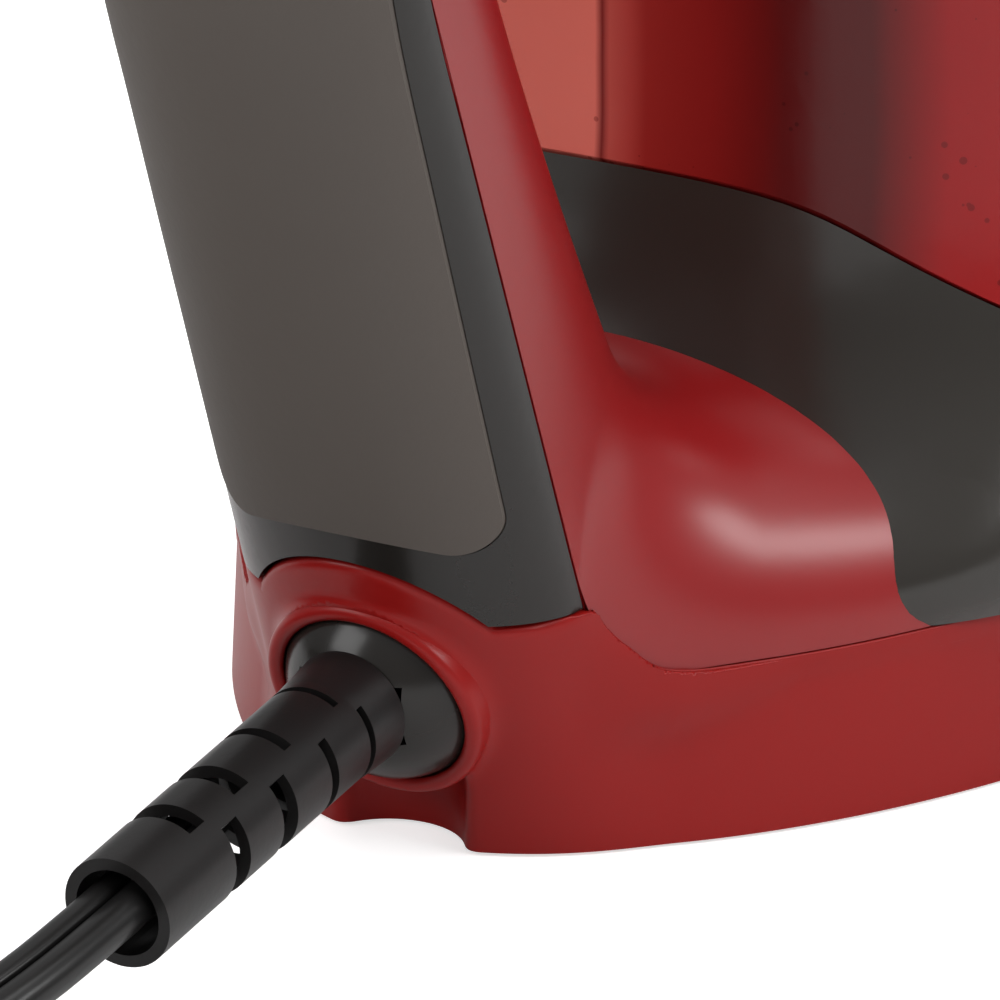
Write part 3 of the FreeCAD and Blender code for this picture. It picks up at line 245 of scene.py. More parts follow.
def make_tank_material():
    """Red plastic with the light and shade seen through the clear tank painted on, and drops of water."""
    material, tree, shader = new_material("tank_plastic")
    coords = tree.nodes.new("ShaderNodeTexCoord")
    split = tree.nodes.new("ShaderNodeSeparateXYZ")
    tree.links.new(coords.outputs["Object"], split.inputs["Vector"])
    drops = tree.nodes.new("ShaderNodeTexVoronoi")
    drops.inputs["Scale"].default_value = DROP_SCALE
    tree.links.new(coords.outputs["Object"], drops.inputs["Vector"])
    wet = noise(tree, WET_SCALE, detail=3.0)
    within = tree.nodes.new("ShaderNodeMath")
    within.operation = "LESS_THAN"
    tree.links.new(drops.outputs["Distance"], within.inputs[0])
    tree.links.new(ramp(tree, wet, 0.0, DROP_LARGEST, WET_FROM, WET_TO), within.inputs[1])
    mix = tree.nodes.new("ShaderNodeMix")
    mix.data_type = "RGBA"
    mix.blend_type = "MULTIPLY"
    tree.links.new(within.outputs[0], mix.inputs["Factor"])
    # Base colour: painted light and shade across the tank, darkened where the drops are
    tree.links.new(painted_tank_light(tree, split.outputs["X"]), mix.inputs["A"])
    mix.inputs["B"].default_value = DROP_TINT
    tree.links.new(mix.outputs["Result"], shader.inputs["Base Color"])
    shader.inputs["Roughness"].default_value = 0.24
    shader.inputs["Specular IOR Level"].default_value = 0.25
    shader.inputs["Coat Weight"].default_value = 0.05
    shader.inputs["Coat Roughness"].default_value = 0.1
    bump(tree, shader, drops.outputs["Distance"], DROP_BUMP, DROP_HEIGHT)
    return material


def make_materials():
    """A material for each of the record's slots. The tank and its door share one."""
    materials = {}
    for slot, (colour, shade, roughness, extra) in PLASTICS.items():
        materials[slot] = moulded(slot, colour, shade, roughness, **extra)
    for slot, (colour, roughness, extra) in METALS.items():
        materials[slot] = metal(slot, colour, roughness, **extra)
    materials["tank_plastic"] = materials["tank_door"] = make_tank_material()
    return materials


MATERIALS = make_materials()


def paint(piece, slot):
    piece.data.materials.clear()
    piece.data.materials.append(MATERIALS[slot])


def paint_nodes():
    for entry in frame["record"]["subparts"]:
        paint(nodes[entry["node"]], entry["material_slot"])


# Surroundings and light, in metres and watts

WORLD_DARK, WORLD_LIGHT = 0.12, 0.6
WORLD_DARK_BELOW, WORLD_LIGHT_ABOVE = -0.4, 0.9
BACKDROP_RADIUS = 6.0
FLOOR_RADIUS = 5.9
FLOOR_DROP = 0.0004
FLOOR_GREY = 0.8
FLOOR_GLOW = 0.62
LIT_PLACE = at(0, 30, 90)

# Lamp, then its place from the lit place, its width and height, and its power
LAMPS = {
    "overhead": ((0.1, -0.1, 1.0), (1.1, 0.7), 9.0),
    "key": ((-0.9, -1.3, 0.9), (1.0, 0.9), 11.0),
    "side": ((1.15, 0.12, 0.75), (0.85, 0.3), 8.0),
}


def make_lamp(name, offset, size, power):
    """A rectangular lamp that faces the iron."""
    data = bpy.data.lights.new(name, "AREA")
    data.shape = "RECTANGLE"
    data.size, data.size_y = size
    data.energy = power
    lamp = add_object(name, data)
    lamp.location = LIT_PLACE + Vector(offset)
    lamp.rotation_mode = "QUATERNION"
    lamp.rotation_quaternion = (LIT_PLACE - lamp.location).to_track_quat("-Z", "Y")


def make_world():
    """Grey surroundings, lighter above, that fill the shade and show in the gloss."""
    world = bpy.data.worlds.new("studio")
    world.use_nodes = True
    tree = world.node_tree
    background = tree.nodes["Background"]
    coords = tree.nodes.new("ShaderNodeTexCoord")
    split = tree.nodes.new("ShaderNodeSeparateXYZ")
    tree.links.new(coords.outputs["Generated"], split.inputs["Vector"])
    level = ramp(tree, split.outputs["Z"], WORLD_DARK, WORLD_LIGHT, WORLD_DARK_BELOW, WORLD_LIGHT_ABOVE)
    tree.links.new(level, background.inputs["Strength"])
    background.inputs["Color"].default_value = (1, 1, 1, 1)
    bpy.context.scene.world = world


def add_form(name, form):
    """An object of this bmesh's shape, with its material's node tree and shader. Frees the bmesh."""
    mesh = bpy.data.meshes.new(name)
    form.to_mesh(mesh)
    form.free()
    material, tree, shader = new_material(name + "_white")
    mesh.materials.append(material)
    return add_object(name, mesh), tree, shader


def make_backdrop():
    """A plain white surround that only the camera sees."""
    form = bmesh.new()
    bmesh.ops.create_uvsphere(form, u_segments=48, v_segments=24, radius=BACKDROP_RADIUS)
    piece, tree, _ = add_form("backdrop", form)
    glow = tree.nodes.new("ShaderNodeEmission")
    glow.inputs["Color"].default_value = (1, 1, 1, 1)
    tree.links.new(glow.outputs["Emission"], tree.nodes["Material Output"].inputs["Surface"])
    for ray in ("diffuse", "glossy", "transmission", "volume_scatter", "shadow"):
        setattr(piece, "visible_" + ray, False)


def make_floor():
    """A pale floor that glows for the camera alone, up to white, and keeps a faint shadow."""
    form = bmesh.new()
    bmesh.ops.create_circle(form, cap_ends=True, segments=96, radius=FLOOR_RADIUS)
    piece, tree, shader = add_form("floor", form)
    piece.location.z = -FLOOR_DROP
    shader.inputs["Base Color"].default_value = (FLOOR_GREY, FLOOR_GREY, FLOOR_GREY, 1)
    shader.inputs["Roughness"].default_value = 0.9
    glow = tree.nodes.new("ShaderNodeEmission")
    glow.inputs["Strength"].default_value = FLOOR_GLOW
    both = tree.nodes.new("ShaderNodeAddShader")
    tree.links.new(shader.outputs["BSDF"], both.inputs[0])
    tree.links.new(glow.outputs["Emission"], both.inputs[1])
    path = tree.nodes.new("ShaderNodeLightPath")
    pick = tree.nodes.new("ShaderNodeMixShader")
    tree.links.new(path.outputs["Is Camera Ray"], pick.inputs["Fac"])
    tree.links.new(shader.outputs["BSDF"], pick.inputs[1])
    tree.links.new(both.outputs["Shader"], pick.inputs[2])
    tree.links.new(pick.outputs["Shader"], tree.nodes["Material Output"].inputs["Surface"])


def make_surroundings():
    make_world()
    make_backdrop()
    make_floor()
    for name, (offset, size, power) in LAMPS.items():
        make_lamp(name, offset, size, power)


# Mouldings, in millimetres: each surface is where a field is zero, and the field is negative inside.

# The handle is an oval carried up a leaning spine. Its front is deeper below the flare's top.
HANDLE_LEAN = math.radians(21.36)
SIN, COS = math.sin(HANDLE_LEAN), math.cos(HANDLE_LEAN)
HANDLE_FOOT_DEPTH = 14.5
GRIP_HALF_WIDTH = 21.4
GRIP_TAPER = 0.0155
GRIP_BACK = 13.2
GRIP_FRONT = 19.0
GRIP_SQUARENESS = 3.5
GRIP_FLARE = 7.5
FLARE_TOP = 110.0
FLARE_RUN = 64.0
FLARE_POWER = 1.5

# The heel's outline in plan is widest at the turn and reaches back from there.
HEEL_TURN_DEPTH = 88.9
HEEL_REACH = 90.5
HEEL_EXPONENT = 1.707
REAR_SHARE = 0.9999

# The saddle is the shoulder between the handle and the body, arched over the heel's outline.
SADDLE_HALF_WIDTH = 58.8
SADDLE_LEAST_HALF_WIDTH = 1.0
SADDLE_FOOT = 20.6
SADDLE_RISE = 25.6
VALLEY_BLEND = 13.0
SKIN_PROUD = 0.08
ELLIPSE = 2.0


def soft_min(a, b, width):
    """The lesser of two fields, with the edge between them filled over this width."""
    overlap = np.maximum(width - np.abs(a - b), 0.0) / width
    return np.minimum(a, b) - overlap ** 2 * width / 4


def soft_max(a, b, width):
    """The greater of two fields, with the edge between them rounded over this width."""
    return -soft_min(-a, -b, width)


def handle_place(y, z):
    """Distance along the handle's spine, and in front of it."""
    past_foot = y - HANDLE_FOOT_DEPTH
    return z * COS - past_foot * SIN, past_foot * COS + z * SIN


def oval(x, forward, wide, deep, power):
    """Distance, near enough, from a superellipse of these half widths."""
    size = ((np.abs(x) / wide) ** power + (np.abs(forward) / deep) ** power) ** (1 / power)
    size = np.maximum(size, 1e-3)
    return (1 - 1 / size) * np.hypot(x, forward)


def grip_half_width(along):
    return GRIP_HALF_WIDTH - GRIP_TAPER * along


def rib_field(x, y, z):
    """The front of the handle, deeper towards its foot."""
    along, forward = handle_place(y, z)
    deep = GRIP_FRONT + GRIP_FLARE * np.maximum((FLARE_TOP - along) / FLARE_RUN, 0.0) ** FLARE_POWER
    return oval(x, np.maximum(forward, 0.0), grip_half_width(along), deep, GRIP_SQUARENESS)


def saddle_field(x, y, z):
    """The arched shoulder, which narrows towards the rear as the heel's outline does."""
    run = np.clip((HEEL_TURN_DEPTH - y) / HEEL_REACH, 0.0, REAR_SHARE)
    half_width = SADDLE_HALF_WIDTH * (1 - run ** HEEL_EXPONENT) ** (1 / HEEL_EXPONENT)
    half_width = np.maximum(half_width, SADDLE_LEAST_HALF_WIDTH)
    return oval(x, z - SADDLE_FOOT, half_width, SADDLE_RISE, ELLIPSE)


def housing_field(x, y, z):
    """The handle's front and the shoulder in one, just proud of the solids."""
    return soft_min(rib_field(x, y, z), saddle_field(x, y, z), VALLEY_BLEND) - SKIN_PROUD


def surface_net(field, low, high, step):
    """Mesh of the field's zero surface: one vertex in each cell that it crosses."""
    axes = [np.arange(a, b + step, step) for a, b in zip(low, high)]
    grid = np.meshgrid(*axes, indexing="ij")
    value = field(*grid)
    inside = value < 0
    cells = tuple(n - 1 for n in value.shape)
    total = np.zeros(cells + (3,))
    count = np.zeros(cells)
    crossings = []
    for axis in range(3):
        first = [slice(None)] * 3
        second = [slice(None)] * 3
        first[axis] = slice(0, -1)
        second[axis] = slice(1, None)
        first, second = tuple(first), tuple(second)
        crossed = inside[first] != inside[second]
        share = np.where(crossed, value[first] / (value[first] - value[second] + 1e-12), 0.0)
        crossings.append((axis, crossed, inside[first]))
        others = [i for i in range(3) if i != axis]
        for i in (0, 1):
            for j in (0, 1):
                pick = [slice(None)] * 3
                pick[others[0]] = slice(i, value.shape[others[0]] - 1 + i)
                pick[others[1]] = slice(j, value.shape[others[1]] - 1 + j)
                pick = tuple(pick)
                hit = crossed[pick]
                count += hit
                total[..., axis] += share[pick]
                total[..., others[0]] += hit * i
                total[..., others[1]] += hit * j
    used = count > 0
    index = np.full(cells, -1)
    index[used] = np.arange(used.sum())
    corner = np.argwhere(used)
    points = (corner + total[used] / count[used][:, None]) * step + np.array(low)
    faces = [net_faces(index, *crossing) for crossing in crossings]
    return points, np.concatenate(faces)


def net_faces(index, axis, crossed, starts_inside):
    """A face about each grid edge along this axis that crosses the surface, turned outwards."""
    a, b = [(1, 2), (2, 0), (0, 1)][axis]
    places = np.argwhere(crossed)
    keep = (places[:, a] > 0) & (places[:, b] > 0)
    keep &= (places[:, a] < index.shape[a]) & (places[:, b] < index.shape[b])
    places = places[keep]
    corners = []
    for i, j in ((0, 0), (1, 0), (1, 1), (0, 1)):
        cell = places.copy()
        cell[:, a] -= i
        cell[:, b] -= j
        corners.append(index[tuple(cell.T)])
    quads = np.stack(corners, axis=1)
    flip = ~starts_inside[tuple(places.T)]
    quads[flip] = quads[flip][:, ::-1]
    return quads


def gradient(field, points, step=0.02):
    """The field's slope at each point, by small steps to either side."""
    parts = []
    for axis in range(3):
        shift = np.zeros(3)
        shift[axis] = step
        ahead = field(*(points + shift).T)
        behind = field(*(points - shift).T)
        parts.append((ahead - behind) / (2 * step))
    return np.stack(parts, axis=1)


def settle(field, points, reach, rounds=5):
    """Moves points onto the field's zero surface, by no more than the reach in each round."""
    for _ in range(rounds):
        slope = gradient(field, points)
        size = np.maximum((slope ** 2).sum(axis=1), 1e-6)
        move = slope * (field(*points.T) / size)[:, None]
        length = np.linalg.norm(move, axis=1, keepdims=True)
        points = points - move * np.minimum(1.0, reach / np.maximum(length, 1e-9))
    return points


def smooth_object(name, places, faces):
    """A smooth-shaded object from places in the frame's metres."""
    mesh = bpy.data.meshes.new(name)
    mesh.from_pydata(places, [], faces)
    mesh.validate()
    mesh.polygons.foreach_set("use_smooth", [True] * len(mesh.polygons))
    return add_object(name, mesh)


def mesh_piece(name, points, faces, slot):
    """A smooth piece of the iron from points in millimetres."""
    places = (np.asarray(points) - np.array([0, REST_DEPTH, 0])) * MM
    piece = smooth_object(name, places.tolist(), [list(map(int, face)) for face in faces])
    paint(piece, slot)
    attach(piece, "iron")
    return piece


def drop_loose(piece):
    """Removes the vertices that no face uses."""
    form = bmesh.new()
    form.from_mesh(piece.data)
    loose = [vertex for vertex in form.verts if not vertex.link_faces]
    bmesh.ops.delete(form, geom=loose, context="VERTS")
    form.to_mesh(piece.data)
    form.free()


def cut_off(piece, place, normal, fill=False):
    """Removes what lies beyond a plane, and may close the cut."""
    form = bmesh.new()
    form.from_mesh(piece.data)
    everything = form.verts[:] + form.edges[:] + form.faces[:]
    cut = bmesh.ops.bisect_plane(form, geom=everything, dist=1e-7, plane_co=at(*place), plane_no=normal,
                                 clear_outer=True)
    if fill:
        edges = [part for part in cut["geom_cut"] if isinstance(part, bmesh.types.BMEdge)]
        bmesh.ops.triangle_fill(form, edges=edges, use_beauty=True, normal=normal)
    form.to_mesh(piece.data)
    form.free()


def shade_by(piece, field):
    """Vertex normals from the field, so that the shading is that of the true surface."""
    mesh = piece.data
    points = np.empty(len(mesh.vertices) * 3)
    mesh.vertices.foreach_get("co", points)
    points = points.reshape(-1, 3) / MM + np.array([0, REST_DEPTH, 0])
    slope = gradient(field, points)
    slope /= np.maximum(np.linalg.norm(slope, axis=1, keepdims=True), 1e-9)
    mesh.normals_split_custom_set_from_vertices(slope.tolist())


# Housing: the skin over the shoulder and the handle's front

SKIN_STEP = 0.9
SKIN_LOW, SKIN_HIGH = (-61.0, -42.0, 19.0), (61.0, 49.0, 118.0)
SKIN_TOP = 116.0


def make_housing_skin():
    """The shoulder, swept up into the handle's rib in one smooth valley."""
    points, faces = surface_net(housing_field, SKIN_LOW, SKIN_HIGH, SKIN_STEP)
    points = settle(housing_field, points, SKIN_STEP)
    piece = mesh_piece("housing_skin", points, faces, "red_shell")
    cut_off(piece, (0, 0, SADDLE_FOOT), DOWN)
    cut_off(piece, (0, 0, SKIN_TOP), UP)
    cut_off(piece, (0, HANDLE_FOOT_DEPTH, 0), (0, -COS, -SIN))
    shade_by(piece, housing_field)


# Heel: a base with a collar and a ring about the cord's ball, and a corner swept up to the collar

HEEL_HEIGHT = 20.2
HEEL_HALF_WIDTH = 60.0
HEEL_FRONT_DEPTH = 97.9
SOLE_LEAN = math.radians(7.0)
HEEL_TOP_ROUND = 0.9

# The collar's top is flat beside the handle and arched over the cord's ball.
ARCH_CENTRE_HEIGHT = 19.05
ARCH_RADIUS = 18.25
ARCH_HALF_WIDTH = 14.6
COLLAR_HEIGHT = 30.0
COLLAR_SLOPE = 0.0088
COLLAR_FRONT = 0.1
COLLAR_TOP_ROUND = 1.8
COLLAR_BLEND = 6.0

# The seam on the shoulder, as depth and height: level from the front, then swept up to the collar
SEAM_HEIGHT = 20.4
SEAM_LEVEL_DEPTHS = (88.0, 80.0, 70.0, 60.0, 50.0, 40.0, 32.0, 26.0, 21.0, 18.0)
SEAM_SWEEP = [
    (15.5, 20.45), (14.0, 20.6), (12.7, 20.85), (11.6, 21.1), (10.6, 21.5), (9.7, 22.1), (8.9, 22.8),
    (8.0, 23.7), (7.2, 24.7), (6.3, 25.6), (5.4, 26.7), (4.6, 27.8), (3.9, 28.9), (3.2, 30.0),
]
SEAM = [(y, SEAM_HEIGHT) for y in SEAM_LEVEL_DEPTHS] + SEAM_SWEEP
SEAM_Y, SEAM_Z = (np.array([place[i] for place in reversed(SEAM)]) for i in (0, 1))
SEAM_GAP = 0.12

# The corner below the seam, blended with the base more widely behind BLEND_GROWS_BEHIND
CORNER_PROUD = 0.16
CORNER_FRONT = 90.0
CORNER_FOOT = 15.5
CORNER_BACK_ROUND, CORNER_FOOT_ROUND = 5.0, 4.0
CORNER_BLEND, CORNER_BLEND_GROWTH = 0.6, 5.4
BLEND_GROWS_BEHIND, BLEND_GROWS_OVER = 24.0, 12.0

# The opening in the back of the handle's foot that the cord's ball turns in, and the ring about it
OPENING_HEIGHT = 18.9
OPENING_DEPTH = HANDLE_FOOT_DEPTH - GRIP_BACK / COS - OPENING_HEIGHT * SIN / COS
OPENING_RADIUS, RING_RADIUS = 11.2, 13.3
BALL_RADIUS = 12.6
BALL_SINK = math.sqrt(BALL_RADIUS ** 2 - OPENING_RADIUS ** 2)
SOCKET_RADIUS = 12.9
RING_INSET, RING_SET_BACK = 0.3, 0.4
RING_BLEND = 2.2

# The cove in the base below the ball, where the cord comes out
COVE_DEPTH = -4.5
COVE_RADIUS = 8.6
COVE_TOP = 11.5
COVE_TOP_ROUND, COVE_EDGE_ROUND = 3.0, 1.8


def arch_height(x):
    """The collar's top, with an arch over the cord's ball."""
    arch = ARCH_CENTRE_HEIGHT + np.sqrt(np.maximum(ARCH_RADIUS ** 2 - x ** 2, 0.0))
    beside = np.abs(x) - ARCH_HALF_WIDTH
    return np.where(beside < 0, arch, COLLAR_HEIGHT + beside * COLLAR_SLOPE)


def from_opening(x, y, z):
    """Height outside the opening's plane, and distance from its axis."""
    rise = -(y - OPENING_DEPTH) * COS - (z - OPENING_HEIGHT) * SIN
    side = -(y - OPENING_DEPTH) * SIN + (z - OPENING_HEIGHT) * COS
    return rise, np.hypot(x, side)


def heel_base(x, y, z):
    """The flat base, which narrows a little towards its top."""
    draft = np.clip(z / HEEL_HEIGHT, 0.0, 1.0)
    plan = oval(x, np.maximum(HEEL_TURN_DEPTH - y, 0.0), HEEL_HALF_WIDTH - draft, HEEL_REACH - draft,
                HEEL_EXPONENT)
    base = np.maximum(plan, y - (HEEL_FRONT_DEPTH - z * math.tan(SOLE_LEAN)))
    return soft_max(base, z - HEEL_HEIGHT, HEEL_TOP_ROUND)


def heel_collar(x, y, z):
    """The back of the handle, carried down to the base."""
    along, forward = handle_place(y, z)
    column = oval(x, forward, grip_half_width(along), GRIP_BACK, ELLIPSE)
    collar = soft_max(column, z - arch_height(x), COLLAR_TOP_ROUND)
    return np.maximum(collar, forward - COLLAR_FRONT)


def above_seam(y, z):
    """Height above the seam, or just short of it."""
    return z - np.interp(y, SEAM_Y, SEAM_Z) + SEAM_GAP


def heel_corner(x, y, z):
    """What lies below the seam on the shoulder, just proud of it."""
    forward = handle_place(y, z)[1]
    corner = np.maximum(housing_field(x, y, z) - CORNER_PROUD, above_seam(y, z))
    corner = soft_max(np.maximum(corner, y - CORNER_FRONT), -forward, CORNER_BACK_ROUND)
    return soft_max(corner, CORNER_FOOT - z, CORNER_FOOT_ROUND)


def heel_field(x, y, z):
    """Base, collar, swept corner and the root of the ring, less the cove."""
    forward = handle_place(y, z)[1]
    body = soft_min(heel_base(x, y, z), heel_collar(x, y, z), COLLAR_BLEND)
    growth = np.clip((BLEND_GROWS_BEHIND - y) / BLEND_GROWS_OVER, 0.0, 1.0)
    body = soft_min(body, heel_corner(x, y, z), CORNER_BLEND + CORNER_BLEND_GROWTH * growth)
    body = np.maximum(body, np.where(forward > 0, above_seam(y, z), z - arch_height(x)))
    rise, around = from_opening(x, y, z)
    ring = np.maximum(around - RING_RADIUS + RING_INSET, rise + RING_SET_BACK)
    body = soft_min(body, ring, RING_BLEND)
    cove = soft_max(np.hypot(x, y - COVE_DEPTH) - COVE_RADIUS, z - COVE_TOP, COVE_TOP_ROUND)
    return soft_max(body, -cove, COVE_EDGE_ROUND)


# Piece, then the lowest and highest corner of its grid, where it is cut below and above, and its step
HEEL_SLABS = {
    "heel_shell": ((-61.5, -18.0, -1.5), (61.5, 100.0, 19.5), 0.02, 18.0, 0.8),
    "heel_edge": ((-61.5, -18.0, 17.0), (61.5, 100.0, 23.0), 18.0, 22.0, 0.4),
    "heel_collar": ((-26.0, -19.0, 21.0), (26.0, 14.0, 39.0), 22.0, 60.0, 0.4),
}
HOLE_RADIUS, HOLE_DEPTH = 12.3, 7.0


def make_heel():
    """The heel and its collar, in slabs that meet edge to edge, with a hole for the cord's ball."""
    for name, (low, high, floor, ceiling, step) in HEEL_SLABS.items():
        points, faces = surface_net(heel_field, low, high, step)
        points = settle(heel_field, points, step)
        rise, around = from_opening(*points.T)
        in_hole = (around < HOLE_RADIUS) & (rise > -HOLE_DEPTH)
        faces = faces[~in_hole[faces].any(axis=1)]
        piece = mesh_piece(name, points, faces, "red_heel")
        drop_loose(piece)
        cut_off(piece, (0, 0, floor), DOWN, fill=name == "heel_shell")
        cut_off(piece, (0, 0, ceiling), UP)
        shade_by(piece, heel_field)
        if name == "heel_shell":
            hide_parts("heel_cover")


RING_ROOT = (-6.0, -2.0, -0.8)
LIP_HEIGHT = -0.15
LIP_TURN = 160.0
LIP_STEPS = 12
SOCKET_TOP, SOCKET_DEPTH = 0.15, 5.5
SOCKET_STEPS = 5
RING_SEGMENTS = 120


def ring_outline():
    """Distance from the axis and height: up the outside, over the round lip and down the socket."""
    lip_radius = (RING_RADIUS - OPENING_RADIUS) / 2
    middle = (RING_RADIUS + OPENING_RADIUS) / 2
    outline = [(RING_RADIUS, height) for height in RING_ROOT]
    for i in range(LIP_STEPS + 1):
        turn = math.radians(LIP_TURN * i / LIP_STEPS)
        outline.append((middle + lip_radius * math.cos(turn), LIP_HEIGHT + lip_radius * math.sin(turn)))
    for i in range(SOCKET_STEPS + 1):
        height = SOCKET_TOP - SOCKET_DEPTH * i / SOCKET_STEPS
        outline.append((math.sqrt(SOCKET_RADIUS ** 2 - (height + BALL_SINK) ** 2), height))
    return outline


def make_spout():
    """The round-edged ring about the cord's ball."""
    outline = ring_outline()
    points, faces = [], []
    for i in range(RING_SEGMENTS):
        turn = 2 * math.pi * i / RING_SEGMENTS
        for around, rise in outline:
            x, side = around * math.cos(turn), around * math.sin(turn)
            y = OPENING_DEPTH - rise * COS - side * SIN
            points.append((x, y, OPENING_HEIGHT - rise * SIN + side * COS))
    wide = len(outline)
    for i in range(RING_SEGMENTS):
        n = (i + 1) % RING_SEGMENTS
        for j in range(wide - 1):
            faces.append([i * wide + j, i * wide + j + 1, n * wide + j + 1, n * wide + j])
    mesh_piece("heel_spout", points, faces, "red_heel")


SEARCH_FROM, SEARCH_TO = 62.0, 12.0
SEARCH_STEPS = 260
STRIP_HEIGHT = 1.1
STRIP_PROUD = 0.26
STRIP_TUCK = 0.6
STRIP_COLUMNS = 8


def outermost(y, z, offset):
    """Half width at this depth and height of the shoulder, grown by the offset."""
    span = np.linspace(SEARCH_FROM, SEARCH_TO, SEARCH_STEPS)
    values = housing_field(span, np.full_like(span, y), np.full_like(span, z)) - offset
    hits = np.nonzero(values < 0)[0]
    if len(hits) == 0:
        return SEARCH_TO
    k = max(int(hits[0]), 1)
    a, b = span[k - 1], span[k]
    va, vb = values[k - 1], values[k]
    return float(a + (b - a) * va / (va - vb))


def below_seam(k):
    """Direction across the seam and downwards, at one of its points."""
    y_a, z_a = SEAM[max(k - 1, 0)]
    y_b, z_b = SEAM[min(k + 1, len(SEAM) - 1)]
    along_y, along_z = y_b - y_a, z_b - z_a
    size = math.hypot(along_y, along_z)
    below_y, below_z = along_z / size, -along_y / size
    return (-below_y, -below_z) if below_z > 0 else (below_y, below_z)


def make_seam_edges():
    """The heel's crisp edge along the shoulder, sweeping up to the collar at the rear corner."""
    wide = STRIP_COLUMNS + 2
    for side, label in ((1, "right"), (-1, "left")):
        points, faces = [], []
        for k, (y_seam, z_seam) in enumerate(SEAM):
            below_y, below_z = below_seam(k)
            for i in range(wide):
                down = STRIP_HEIGHT * (1 - min(i, STRIP_COLUMNS) / STRIP_COLUMNS)
                y, z = y_seam + below_y * down, z_seam + below_z * down
                proud = STRIP_PROUD if i <= STRIP_COLUMNS else -STRIP_TUCK
                points.append((side * outermost(y, z, proud), y, z))
        for j in range(len(SEAM) - 1):
            for i in range(wide - 1):
                face = [j * wide + i, j * wide + i + 1, (j + 1) * wide + i + 1, (j + 1) * wide + i]
                faces.append(face[::-1] if side > 0 else face)
        mesh_piece("heel_edge_" + label, points, faces, "red_heel")


# Cord, in millimetres: out of the sleeve, down to the table and into a put-away coil

# The flex has two cores side by side. It lies flat at first and then turns on its edge.
LOBE_RADIUS = 2.3
LOBE_APART = 3.4
LOBE_STEPS = 10
NECK_SHARE = 0.86
FLAT_UNTIL = 25.0
TURNED_BY = 150.0
ON_EDGE = math.pi / 2

# The coil has two layers, and the last half turn lifts off them to the plug on top.
COIL_RADIUS = 53.0
COIL_PITCH = 8.7
COIL_TURNS = 3
COIL_X = -78.0
COIL_Y = -79.0
COIL_FRONT = COIL_Y - COIL_RADIUS
LAYER_ONE = 4.0
LAYER_TWO = 12.6
SECOND_LAYER = COIL_TURNS + 0.5
LIFT_OFF = 2 * COIL_TURNS + 0.25
COIL_END = LIFT_OFF + 0.5
TURN_POINTS = 16
PLUG_HEIGHT = 29.1
PLUG_RISE_RATE = 1.6
PLUG_INWARDS = 15.0
INWARDS_FROM = 0.25

# The sleeve's axis starts at the ball's centre and dips.
BALL = at(0, -1.6893, 21.0024)
DIP = math.radians(7.55)
GUARD = Vector((0, -math.cos(DIP), -math.sin(DIP)))
LEAD_LENGTH = 70


def along_guard(distance, rise=0.0):
    """A place this far from the ball along the sleeve's axis, and this far above the axis."""
    return BALL + (GUARD * distance + Vector((0, GUARD.z, -GUARD.y)) * rise) * MM


CORD_ROUTE = [
    along_guard(44.0, 1.0),
    along_guard(52.0, 1.0),
    along_guard(60.6, 0.7),
    at(-1.0, -82.0, 10.6),
    at(-8.0, -106.0, 5.6),
    at(-38.0, COIL_FRONT, LAYER_ONE),
    at(-70.0, COIL_FRONT, LAYER_ONE),
]


def smooth(share):
    """From 0 to 1, with a gentle start and end."""
    share = max(0.0, min(1.0, share))
    return 3 * share ** 2 - 2 * share ** 3


def coil_point(turn):
    """Inwards on the table, up one layer, outwards above, then onto the coil with the plug."""
    inner = COIL_RADIUS - COIL_TURNS * COIL_PITCH
    climb = (turn - COIL_TURNS) * 2
    if turn <= COIL_TURNS:
        radius = COIL_RADIUS - COIL_PITCH * turn
    elif turn <= SECOND_LAYER:
        radius = inner - COIL_PITCH / 2 * climb * (1 - climb)
    else:
        radius = inner + COIL_PITCH * (turn - SECOND_LAYER)
    lift = (turn - LIFT_OFF) * 2
    height = LAYER_ONE + (LAYER_TWO - LAYER_ONE) * smooth(climb)
    height += (PLUG_HEIGHT - LAYER_TWO) * smooth(lift * PLUG_RISE_RATE)
    radius -= PLUG_INWARDS * smooth((lift - INWARDS_FROM) / (1 - INWARDS_FROM))
    angle = -math.pi / 2 - 2 * math.pi * turn
    return at(COIL_X + radius * math.cos(angle), COIL_Y + radius * math.sin(angle), height)


def route_line(points, name):
    """Points of a smooth curve whose control points these are."""
    data = bpy.data.curves.new(name, "CURVE")
    data.dimensions = "3D"
    spline = data.splines.new("NURBS")
    spline.points.add(len(points) - 1)
    for point, place in zip(spline.points, points):
        point.co = (*place, 1)
    spline.order_u = 3
    spline.use_endpoint_u = True
    spline.resolution_u = 6
    curve = bpy.data.objects.new(name, data)
    mesh = bpy.data.meshes.new_from_object(curve)
    line = [vertex.co.copy() for vertex in mesh.vertices]
    bpy.data.objects.remove(curve)
    bpy.data.meshes.remove(mesh)
    return line


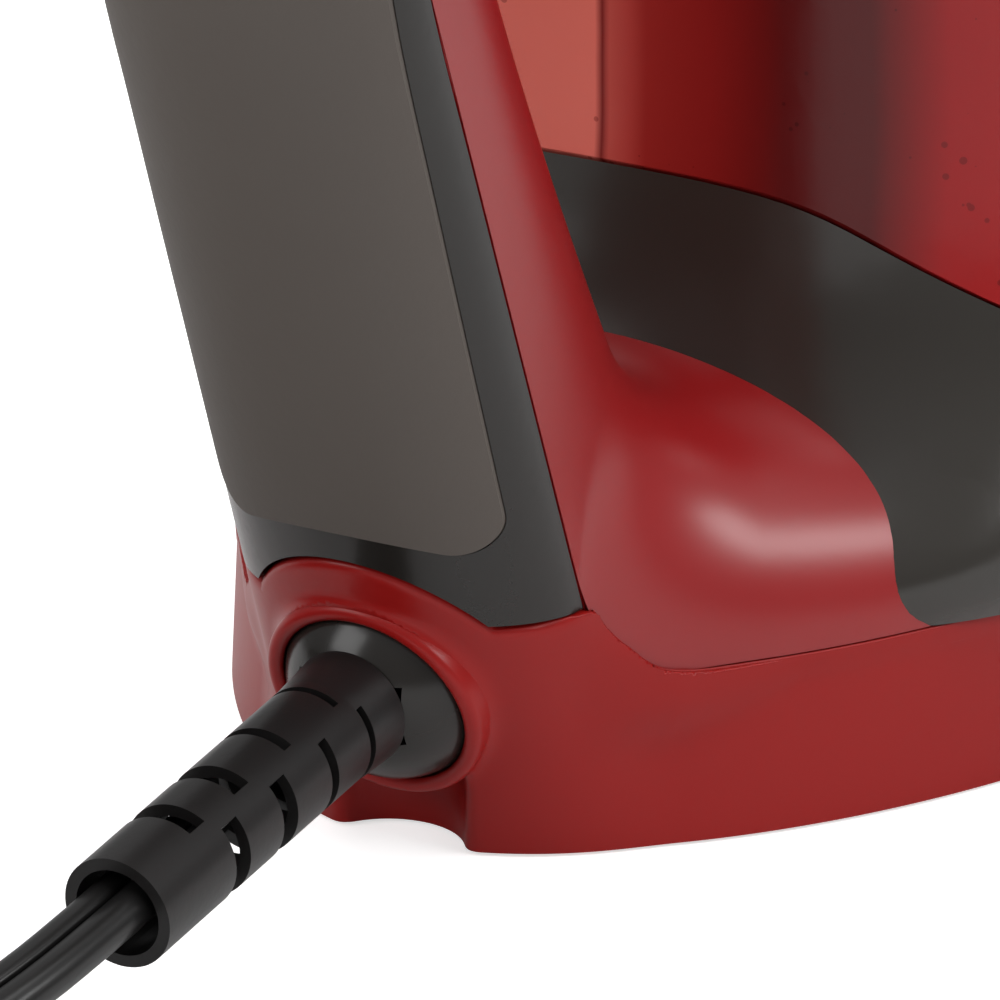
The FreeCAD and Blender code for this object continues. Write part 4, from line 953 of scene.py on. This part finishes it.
def twin_profile():
    """Outline of two round cores side by side, joined by a narrow neck."""
    reach = LOBE_APART / 2
    neck = math.acos(reach / LOBE_RADIUS) * NECK_SHARE
    points = []
    for side in (1, -1):
        for i in range(LOBE_STEPS + 1):
            turn = -(math.pi - neck) + 2 * (math.pi - neck) * i / LOBE_STEPS
            x = side * (reach + LOBE_RADIUS * math.cos(turn))
            points.append((x, side * LOBE_RADIUS * math.sin(turn)))
    return points


def sweep(name, line, profile, start=0.0):
    """A closed tube of this outline along the line, lying flat at first and then turned on its edge."""
    places, faces = [], []
    count = len(profile)
    run = start
    for i, place in enumerate(line):
        before, after = line[max(i - 1, 0)], line[min(i + 1, len(line) - 1)]
        way = (after - before).normalized()
        run += (place - before).length / MM
        level = way.cross(Vector(UP)).normalized()
        up = level.cross(way)
        turn = ON_EDGE * smooth((run - FLAT_UNTIL) / TURNED_BY)
        a = level * math.cos(turn) + up * math.sin(turn)
        b = up * math.cos(turn) - level * math.sin(turn)
        for x, y in profile:
            places.append(tuple(place + (a * x + b * y) * MM))
    for i in range(len(line) - 1):
        for k in range(count):
            n = (k + 1) % count
            faces.append((i * count + k, i * count + n, (i + 1) * count + n, (i + 1) * count + k))
    faces.append(tuple(range(count)))
    faces.append(tuple(reversed(range((len(line) - 1) * count, len(line) * count))))
    return smooth_object(name, places, faces)


def length_of(line):
    return sum((b - a).length for a, b in zip(line, line[1:]))


def make_cord():
    """The flex: a short lead out of the sleeve, and the rest, with its coil, up to the plug."""
    points = list(CORD_ROUTE)
    count = round(COIL_END * TURN_POINTS)
    points += [coil_point(COIL_END * i / count) for i in range(count + 1)]
    line = route_line(points, "cord_route")
    split = next(i for i in range(len(line)) if length_of(line[:i + 1]) > LEAD_LENGTH * MM)
    near, far = line[:split + 1], line[split:]
    profile = twin_profile()
    lead = sweep("flex_lead", near, profile)
    rest = sweep("flex", far, profile, length_of(near) / MM)
    for piece in (lead, rest):
        paint(piece, "cord_black")
    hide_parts("cord", "cord_coil")
    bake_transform(lead)
    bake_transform(rest)


bpy.context.scene.view_settings.view_transform = "Standard"
make_camera()
paint_nodes()
make_surroundings()
make_housing_skin()
make_heel()
make_spout()
make_seam_edges()
make_cord()
